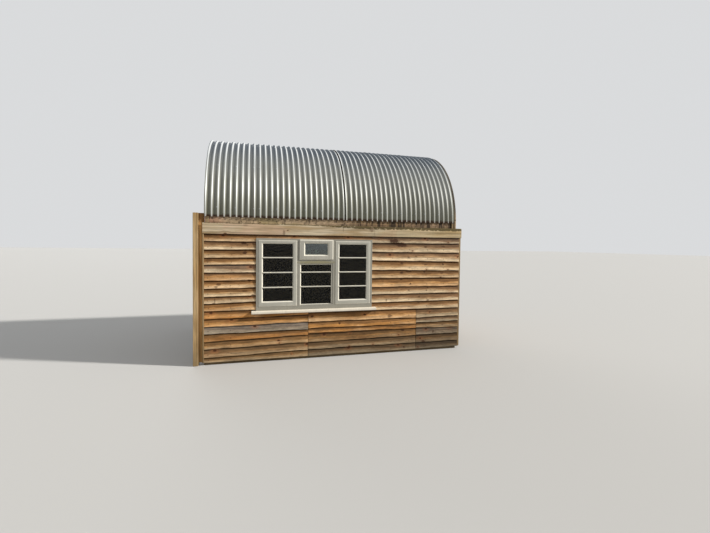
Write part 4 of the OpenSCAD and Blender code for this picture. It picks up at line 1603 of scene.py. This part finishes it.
    def fixings(self, rng: np.random.Generator) -> Patch:
        """Makes a domed fixing with its washer on every third crest, at each purlin line.

        Args:
            rng: Source of the fixings' small strays round the roof.

        Returns:
            The fixings' surface.
        """
        places, out = [], []
        for k, (low, high) in enumerate(self.boxes):
            x0, x1, crest = low.x, high.x, self.crest_of(k)
            first = math.ceil((x0 - crest) / self.pitch)
            crests = crest + self.pitch * np.arange(first + 1, int((x1 - crest) / self.pitch) + 1, 3)
            for degrees in self.fixing_rows:
                turn = np.radians(degrees) + rng.uniform(-3, 3, len(crests)) * MM
                radius = np.full(len(crests), self.radius + self.lift_of(k))
                places.append(self.turned(crests, radius, turn))
                out.append(np.stack([0 * turn, -np.cos(turn), np.sin(turn)], axis=-1))
        places, out = np.concatenate(places), np.concatenate(out)
        return joined([domes(places + out * seat, out, radius, rise, sides)
                       for radius, rise, sides, seat in self.fixing_sizes])

    def gable_boards(self, side: Side, rng: np.random.Generator) -> Patch:
        """Makes the upright boards of one gable.

        Each board's top follows the raised circle of the gable, and its face is flat with eased long
        edges. Its tone attribute is its level.

        Args:
            side: The left or the right end.
            rng: Source of small differences between boards.

        Returns:
            The boards' surface.
        """
        end = side.name.lower()
        gable, plate, arch = (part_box(f"{end}_{part}") for part in ("gable", "end_plate", "arch_board"))
        way = side.value[2]
        face = gable[0].x if way < 0 else gable[1].x
        reach = (arch[1].y - arch[0].y) / 2 - self.arch_width
        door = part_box("door_frame")
        width, gap, ease, thick = self.gable_board
        count = int(2 * reach / width)
        start = self.axis_y - count * width / 2
        boards = []
        for k in range(count):
            y0, y1 = start + k * width + gap / 2, start + (k + 1) * width - gap / 2
            over_door = side is Side.LEFT and y1 > door[0].y and y0 < door[1].y
            foot = (door if over_door else plate)[1].z + 1 * MM
            y = np.array([y0, y0, y0 + ease, y0 + 0.33 * width, y0 + 0.66 * width, y1 - ease, y1, y1])
            out = np.array([0, thick - ease, thick, thick, thick, thick, thick - ease, 0])
            out = out + rng.uniform(-0.6, 0.6) * MM
            top = self.spring + self.rise * np.sqrt(np.maximum(reach ** 2 - (y - self.axis_y) ** 2, 0))
            z = foot + (top - foot) * np.linspace(0, 1, 4)[:, None]
            rings = np.stack(np.broadcast_arrays(face + way * out, y, z), axis=-1)
            tone = np.full(rings.shape, rng.normal(1.0, self.board_even))
            boards.append(tube(rings, {"tone": tone}))
        return outward(joined(boards))

    def raised(self, piece: bpy.types.Object) -> None:
        """Stretches what lies above the springing line of a copy by the roof's rise."""
        points = np.zeros((len(piece.data.vertices), 3), dtype=np.float32)
        piece.data.vertices.foreach_get("co", points.ravel())
        points[:, 2] += (self.rise - 1) * np.maximum(points[:, 2] - self.spring, 0)
        piece.data.vertices.foreach_set("co", points.ravel())

    def build(self, finishes: Finishes, timber: dict[str, bpy.types.Material]) -> None:
        """Makes the sheets, their fixings, the gable boards and the arch boards.

        Args:
            finishes: The shared node groups and the materials made so far.
            timber: The sawn timber's materials by name.
        """
        rng = np.random.default_rng(5)
        zinc = ZincFinish().material(finishes)
        for k in range(len(self.boxes)):
            piece = mesh_piece(f"corrugated_sheet_{k + 1}", self.sheet(k, rng), 50.0)
            dress(piece, zinc, "galvanised_sheet", f"roof_sheet_{k + 1}")
        fixings = self.fixings(rng)
        # A phase of 1 radian lies in the painted highlight strip, so the fixings take its colour.
        fixings.fields["edge"] = np.full((len(fixings.points), 3), 1.0)
        dress(mesh_piece("roof_fixings", fixings), zinc, "galvanised_sheet")
        for side in (Side.LEFT, Side.RIGHT):
            name = side.name.lower()
            piece = mesh_piece(f"{name}_gable_boards", self.gable_boards(side, rng))
            dress(piece, timber["gable_board_z"], "gable_board")
            arch = eased_copy(f"{name}_arch_board", self.arch_ease)
            self.raised(arch)
            dress(arch, timber["arch_board_z"], "pale_board", f"{name}_arch_board")


@dataclass
class WeatheredBeam:
    """An eaves beam with a rough, checked face.

    Attributes:
        step: Distance between rings along the beam.
        longer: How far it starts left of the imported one, in front of the arch board's leg.
        squareness: Power of the circle that its section follows, of which 0 would give a square.
        sides: Points round the section.
        sink_along, sink_round: How far the face sinks along the beam, in millimetres, and how this
            varies round it.
        notches, notch_long, notch_deep: Number, half length and depth of the notches in its edges.
    """

    node: str
    seed: int
    step: float = 12 * MM
    longer: float = 58 * MM
    squareness: float = 0.12
    sides: int = 40
    sink_along: Waves = Waves((0.53, 0.21, 0.09), (1.6, 1.4, 0.9))
    sink_round: Waves = Waves((2.1, 0.9), (0.5, 0.4))
    notches: int = 14
    notch_long: float = 22 * MM
    notch_deep: float = 5 * MM

    def build(self, material: bpy.types.Material) -> bpy.types.Object:
        """Makes the beam as a run of rings, rounded rectangles whose sides sink by noise.

        The sinking is the product of a wavy line along the beam and one round it. Each notch adds a
        bell curve along the beam, times three lobes of a sine round it.

        Args:
            material: The beam's material.

        Returns:
            The beam's piece.
        """
        low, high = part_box(self.node)
        rng = np.random.default_rng(self.seed)
        start = low.x - self.longer
        x = np.linspace(start, high.x, int((high.x - start) / self.step) + 1)
        near, far = np.array([low.y, low.z]), np.array([high.y, high.z])
        half, middle = (far - near) / 2, (far + near) / 2
        turn = np.linspace(0, 2 * math.pi, self.sides, endpoint=False)
        circle = np.stack([np.cos(turn), np.sin(turn)], axis=-1)
        outline = np.sign(circle) * np.abs(circle) ** self.squareness
        sink = np.abs(self.sink_along.at(x, rng) * MM)[:, None] * (1 + self.sink_round.at(turn, rng))
        notches = rng.uniform(low.x, high.x, self.notches)
        notch = np.exp(-((x[:, None] - notches) / self.notch_long) ** 2).sum(axis=1)[:, None]
        sink = sink + self.notch_deep * notch * np.maximum(np.sin(turn * 3 + 1.0), 0)
        section = middle + outline * half * (1 - sink[..., None] / half)
        along = np.broadcast_to(x[:, None, None], (*section.shape[:2], 1))
        rings = np.concatenate([along, section], axis=-1)
        piece = mesh_piece(self.node + "_weathered", outward(tube(rings)), 60.0)
        return dress(piece, material, "weathered_beam", self.node)


@dataclass
class Timberwork:
    """The sawn timber outside the cladding: beams, smooth boards, plates and corner pieces."""

    ease: float = 3 * MM

    def build(self, timber: dict[str, bpy.types.Material]) -> None:
        """Makes the beams and gives every other piece its eased copy."""
        WeatheredBeam("front_eaves_beam", 71).build(timber["weathered_beam_x"])
        WeatheredBeam("back_eaves_beam", 72).build(timber["weathered_beam_x"])
        for finish, slot, *nodes in (
                ("pale_board_x", "pale_board", "front_top_boards", "back_top_boards"),
                ("pale_board_y", "pale_board", "end_top_boards"),
                ("weathered_beam_y", "weathered_beam", "left_end_plate", "right_end_plate"),
                ("post_z", "pale_board", "left_corner_post"),
                ("dark_board_z", "dark_board", "left_corner_board"),
                ("corner_strip_z", "pale_board", "corner_strips")):
            dress_eased(self.ease, timber[finish], slot, *nodes)


Section = tuple[tuple[int, float, float, float], ...]
BarSection = tuple[tuple[float, float], ...]


@dataclass(frozen=True)
class Sash:
    """A glazed light: a bevelled frame swept round an opening, and bars across it.

    Everything is in millimetres, along the front from the body's left corner, up from the ground,
    and back from the top board's face.

    Attributes:
        opening: Left, right, foot and head of the glass that shows.
        outline: The same of the frame's outer edge.
        section: The frame's section in order: 0 or 1 for the opening or the outline, the way out
            from it, the depth, and the share of paler paint there, a painted highlight.
        bars: Heights of the bars' middles.
        bar: The bars' section as height from their middle and depth.
        bar_fresh: Share of paler paint on the bars, a painted highlight.
        tuck: How far a bar's ends run in behind the frame.
    """

    opening: Rect
    outline: Rect
    section: Section
    bars: tuple[float, ...] = ()
    bar: BarSection = ((-8.5, 13.8), (-8.0, 6.0), (-4.0, -4.0), (3.0, -4.0), (8.0, 4.0), (8.5, 13.8))
    bar_fresh: float = 0.6
    tuck: float = 5.0

    def patches(self) -> list[Patch]:
        """Sweeps the frame's section round with mitred corners, and each bar's along.

        A corner of the section is a rectangle: the opening or the outline, grown by the way out.

        Returns:
            The frame's surface and one for each bar.
        """
        rings = np.zeros((4, len(self.section), 3))
        # Share of paler paint at each corner of the section: painted highlight.
        bead = np.broadcast_to([[[corner[3]] * 3 for corner in self.section]], rings.shape)
        for place, (which, out, depth, _) in enumerate(self.section):
            x0, x1, z0, z1 = (self.opening, self.outline)[which]
            rings[:, place, 0] = [x0 - out, x1 + out, x1 + out, x0 - out]
            rings[:, place, 2] = [z0 - out, z0 - out, z1 + out, z1 + out]
            rings[:, place, 1] = depth
        shift = np.array([PLAN_X / MM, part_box("front_top_boards")[0].y / MM, 0.0])
        found = [outward(tube((rings + shift) * MM, {"bead": bead}, closed=True))]
        across = np.array([[self.opening[0] - self.tuck], [self.opening[1] + self.tuck]])
        up, depth = np.array(self.bar).T
        for z in self.bars:
            ring = np.stack(np.broadcast_arrays(across, depth, z + up), axis=-1)
            found.append(outward(tube((ring + shift) * MM, {"bead": np.full(ring.shape, self.bar_fresh)})))
        return found


def lipped(proud: float, inner: float, outer: float) -> Section:
    """Draws the section of a sash that laps the frame's face.

    It goes from the glass out over the inner bevel, across the face, down the outer edge to the
    frame, and back behind the glass.

    Args:
        proud: How far its face stands out from the frame.
        inner: Width of the bevel down to the glass.
        outer: Width of the bevel round its outer edge.

    Returns:
        The section.
    """
    glass, back, tongue = 13.8, 45, 9
    # The fourth number of each corner is its share of paler paint, a painted highlight.
    return (
        (0, 0, glass, 1), (0, 1, 9, 1), (0, inner - 3, 2.5 - proud, 1), (0, inner, -proud, 0),
        (1, -outer, -proud, 0), (1, 1.5 - outer, 0.3 - proud, 1), (1, -1.5, -0.35 * proud, 1),
        (1, 0, -1.5, 0.3), (1, 0, 0, 0), (1, -tongue, 0.2, 0), (1, -tongue, back, 0),
        (0, tongue, back, 0), (0, tongue, glass, 0))


@dataclass
class Window:
    """The painted window of three lights, its sill and its glass.

    Attributes:
        ease, frame_ease: Bevel of the sill and the stay, and of the frame.
        casement, hinged, beads: Sections of the side lights, of the hinged light over the middle,
            and of the beads round the fixed light below it.
        bead_bar: Section of the fixed light's bars.
        casement_bars, fixed_bars: Heights of the bars, in millimetres.
        fanlight_shadow: The olive shadow of the hinged light, painted on the frame below it.
    """

    ease: float = 1.6 * MM
    frame_ease: float = 4 * MM
    casement: Section = lipped(5, 15, 6)
    hinged: Section = lipped(15, 17, 12)
    beads: Section = (
        (0, 0, 23.8, 1), (0, 1, 20, 1), (0, 11, 10, 1), (1, -3, 8, 0.4), (1, 0, 8, 0.4), (1, 0, 23.8, 0))
    bead_bar: BarSection = ((-8.5, 23.8), (-8, 17), (-4, 8), (3, 8), (8, 16), (8.5, 23.8))
    casement_bars: tuple[float, ...] = (998.0, 1199.0, 1400.0)
    fixed_bars: tuple[float, ...] = (1000.0, 1200.0)
    # Painted shadow of the hinged light on the frame below it.
    fanlight_shadow: Mark = Mark(1455, 1335, 260, 26, 0.6)

    def sashes(self) -> dict[str, Sash]:
        """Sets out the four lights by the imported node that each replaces."""
        casement, bars = self.casement, self.casement_bars
        return {
            "left_casement": Sash((735, 1130.5, 812, 1587), (679, 1186.5, 744, 1634), casement, bars),
            "right_casement": Sash((1779.5, 2175, 812, 1587), (1723.5, 2231, 744, 1634), casement, bars),
            "centre_bars": Sash((1244.5, 1665.5, 760, 1304), (1229, 1681, 752.5, 1319.5), self.beads,
                                self.fixed_bars, self.bead_bar),
            "fanlight_sash": Sash((1298.5, 1611.5, 1442, 1594), (1220.5, 1689.5, 1372, 1648), self.hinged),
        }

    def build(self, finishes: Finishes) -> None:
        """Makes the sashes, gives the other painted pieces their eased copies, and puts in the glass.

        Args:
            finishes: The shared node groups and the materials made so far.
        """
        grey = PaintFinish("window_paint", shade(152, 149, 138), marks=(self.fanlight_shadow,)).material(finishes)
        sash_paint = PaintFinish("casement_paint", shade(182, 180, 169)).material(finishes)
        white = PaintFinish("sill_paint", shade(236, 228, 212), dirt=0.2).material(finishes)
        hinged_paint = PaintFinish("fanlight_paint", shade(180, 177, 166), dirt=0.25).material(finishes)
        paints = {"fanlight_sash": (hinged_paint, "sill_paint"), "centre_bars": (grey, "window_paint")}
        for node, sash in self.sashes().items():
            piece = mesh_piece(node + "_swept", joined(sash.patches()), 20.0)
            dress(piece, *paints.get(node, (sash_paint, "window_paint")), node)
        dress_eased(self.frame_ease, grey, "window_paint", "window_frame")
        dress_eased(self.ease, white, "sill_paint", "fanlight_stay", "window_sill")
        clear = GlassFinish("window_glass", shade(182, 170, 134)).material(finishes)
        bright = GlassFinish("fanlight_glass", shade(150, 176, 168), ior=1.9).material(finishes)
        panes = part_copy("window_glass", "casement_glass", lambda point: not self.fan(point))
        dress(panes, clear, "window_glass", "window_glass")
        dress(part_copy("window_glass", "fanlight_glass", self.fan), bright, "window_glass")

    @staticmethod
    def fan(point: Vector) -> bool:
        """Tells whether a point of the glass belongs to the hinged light's pane."""
        low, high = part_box("fanlight_sash")
        return low.z < point.z < high.z and low.x < point.x < high.x


@dataclass
class Door:
    """The boarded door in the left end, with its frame, threshold and ironwork."""

    ease: float = 1.6 * MM
    fine_ease: float = 0.8 * MM

    def build(self, finishes: Finishes, timber: dict[str, bpy.types.Material]) -> None:
        """Gives each piece its eased copy."""
        paint, iron = finishes.made["window_paint"], finishes.made["black_iron"]
        dress_eased(self.ease, paint, "window_paint", "door_frame", "door_leaf")
        dress_eased(self.fine_ease, timber["floor_timber_y"], "floor_timber", "door_threshold")
        dress_eased(self.fine_ease, iron, "black_iron", "door_hinges", "door_latch")


def timber_materials(finishes: Finishes) -> dict[str, bpy.types.Material]:
    """Builds the sawn timber finishes.

    Args:
        finishes: The shared node groups.

    Returns:
        The materials by finish and way of the grain.
    """
    pale = {"pale": shade(212, 196, 168), "deep": shade(184, 158, 120)}
    post = {"pale": shade(216, 184, 136), "deep": shade(182, 146, 96)}
    beam = {"pale": shade(208, 184, 152), "deep": shade(170, 146, 114), "contrast": 0.45, "soil": 0.5,
            "relief": 2 * MM}
    floor = {"pale": shade(150, 132, 106), "deep": shade(116, 96, 72), "soil": 0.6, "contrast": 0.35}
    lining = {"pale": shade(206, 176, 134), "deep": shade(184, 148, 104), "soil": 0.05, "contrast": 0.2}
    dark = {"pale": shade(224, 180, 120), "deep": shade(184, 136, 82), "contrast": 0.45, "knots": 0.5}
    marks = (Mark(1010, 1735, 18, 40, 0.5), Mark(2250, 1800, 30, 30, 0.5),
             Mark(1830, 1795, 10, 30, 0.4), Mark(515, 1825, 30, 16, 0.3))
    kinds = [
        TopBoardFinish("pale_board_x", Axis.X, marks=marks, soil=0.25, contrast=0.38, **pale),
        # The end top boards are darker than the front ones, to tone down the lamp on the right end:
        # painted shade.
        TopBoardFinish("pale_board_y", Axis.Y, shade(190, 172, 144), shade(164, 138, 104), soil=0.25),
        TimberFinish("post_z", Axis.Z, contrast=0.45, knots=0.35, soil=0.45, **post),
        # Darker than the other pale boards: painted shade, for the shadow line at the left front corner.
        TimberFinish("corner_strip_z", Axis.Z, shade(164, 139, 102), shade(134, 109, 74)),
        ArchFinish("arch_board_z", Axis.Z_END, shade(98, 90, 76), shade(72, 64, 52), contrast=0.4),
        SideBoardFinish("dark_board_z", Axis.Z, **dark),
        BeamFinish("weathered_beam_x", Axis.X, **beam),
        BeamFinish("weathered_beam_y", Axis.Y, **beam),
        GableFinish("gable_board_z", Axis.Z_END, shade(182, 156, 120), shade(146, 114, 78), contrast=0.35),
        LiningFinish("wall_lining_x", Axis.X, **lining),
        LiningFinish("wall_lining_y", Axis.Y, **lining),
        TimberFinish("floor_timber_x", Axis.X, **floor),
        TimberFinish("floor_timber_y", Axis.Y, **floor),
    ]
    return {kind.name: kind.material(finishes) for kind in kinds}


def dress_carcass(timber: dict[str, bpy.types.Material]) -> None:
    """Puts materials on the floor, walls, gables and vault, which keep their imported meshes.

    Args:
        timber: The sawn timber's materials by name.
    """
    for finish, nodes in {
        "floor_timber_x": ("floor_bearers", "floor_deck"),
        "floor_timber_y": ("floor_end_joists",),
        "wall_lining_x": ("front_wall", "back_wall", "roof_boards"),
        "wall_lining_y": ("left_end_wall", "right_end_wall", "left_gable", "right_gable"),
    }.items():
        for node in nodes:
            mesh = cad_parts[node].data
            mesh.materials.clear()
            mesh.materials.append(timber[finish])
            LOG.info("%s: packed mesh, material %s", node, finish)


@dataclass(frozen=True)
class Lamp:
    """A distant soft lamp: the way towards it, its strength, the angle that it fills, and its colour."""

    name: str
    way: Triple
    strength: float
    spread_deg: float
    colour: Triple

    def hang(self) -> None:
        """Hangs the lamp so that it shines from its way."""
        data = bpy.data.lights.new(self.name, "SUN")
        data.energy, data.angle, data.color = self.strength, math.radians(self.spread_deg), self.colour
        linked(self.name, data).rotation_euler = Vector(self.way).to_track_quat("Z", "Y").to_euler()


@dataclass
class Studio:
    """The camera where the photographer stood, a plain pale floor and soft light."""

    stand: Triple = (-1.144, -6.209, 1.595)
    turn_deg: float = 15.17
    tilt_deg: float = -1.81
    roll_deg: float = 0.68
    lens: float = 18.6
    sensor: float = 36.0
    shift: float = -0.0152
    lamps: tuple[Lamp, ...] = (
        Lamp("key", (0.81, -0.29, 0.51), 4.3, 3.5, (1.0, 0.96, 0.90)),
        Lamp("fill", (-0.3, 0.94, 0.14), 1.2, 40.0, (0.95, 0.98, 1.0)))
    ambient: float = 0.4
    backdrop: Colour = (0.70, 0.71, 0.72, 1.0)
    floor_seen: Colour = (0.54, 0.54, 0.53, 1.0)
    floor_lit: Colour = (0.36, 0.36, 0.35, 1.0)
    floor_roughness: float = 0.9
    floor_reach: float = 90.0

    def build(self) -> None:
        """Makes the camera, the lamps, the world and the floor."""
        self.camera()
        for lamp in self.lamps:
            lamp.hang()
        self.world()
        self.floor()
        bpy.context.scene.view_settings.view_transform = "Standard"

    def camera(self) -> None:
        """Stands the camera, turned to the right, tilted down and rolled by the solved angles."""
        data = bpy.data.cameras.new("camera")
        data.lens, data.sensor_width, data.shift_y = self.lens, self.sensor, self.shift
        camera = linked("camera", data)
        camera.matrix_world = (
            Matrix.Translation(self.stand)
            @ Matrix.Rotation(math.radians(-self.turn_deg), 4, "Z")
            @ Matrix.Rotation(math.radians(90 + self.tilt_deg), 4, "X")
            @ Matrix.Rotation(math.radians(self.roll_deg), 4, "Z"))
        bpy.context.scene.camera = camera

    @staticmethod
    def seen(graph: Graph) -> Socket:
        """Returns 1 where the camera looks, straight or by gloss or glass, and 0 for what gives light."""
        path = graph.add("ShaderNodeLightPath")
        kinds = ("Camera", "Glossy", "Transmission")
        return graph.most(*(path.outputs[f"Is {kind} Ray"] for kind in kinds))

    def world(self) -> None:
        """Lights the hut evenly, and shows a paler backdrop to the camera, in gloss and through glass."""
        world = bpy.data.worlds.new("studio")
        bpy.context.scene.world = world
        world.use_nodes = True
        graph = Graph(world.node_tree)
        plain = (self.ambient, self.ambient, self.ambient, 1.0)
        graph.feed(world.node_tree.nodes["Background"].inputs["Color"],
                   graph.mix(self.seen(graph), plain, self.backdrop))

    def floor(self) -> None:
        """Lays a plain pale floor far past the hut."""
        far = self.floor_reach
        mesh = bpy.data.meshes.new("studio_floor")
        corners = [(-far, -far, 0), (far, -far, 0), (far, far, 0), (-far, far, 0)]
        mesh.from_pydata(corners, [], [(0, 1, 2, 3)])
        floor = linked("studio_floor", mesh)
        material = bpy.data.materials.new("studio_floor")
        material.use_nodes = True
        graph = Graph(material.node_tree)
        graph.feed_named(material.node_tree.nodes["Principled BSDF"], {
            "Base Color": graph.mix(self.seen(graph), self.floor_lit, self.floor_seen),
            "Roughness": self.floor_roughness})
        mesh.materials.append(material)


def main() -> None:
    """Builds the hut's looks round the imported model, and the studio that it stands in."""
    logging.basicConfig(level=logging.INFO, format="%(name)s %(message)s")
    Studio().build()
    finishes = Finishes()
    timber = timber_materials(finishes)
    dress_carcass(timber)
    Cladding().build(finishes)
    Roof().build(finishes, timber)
    Timberwork().build(timber)
    Window().build(finishes)
    Door().build(finishes, timber)


if __name__ == "__main__":
    main()
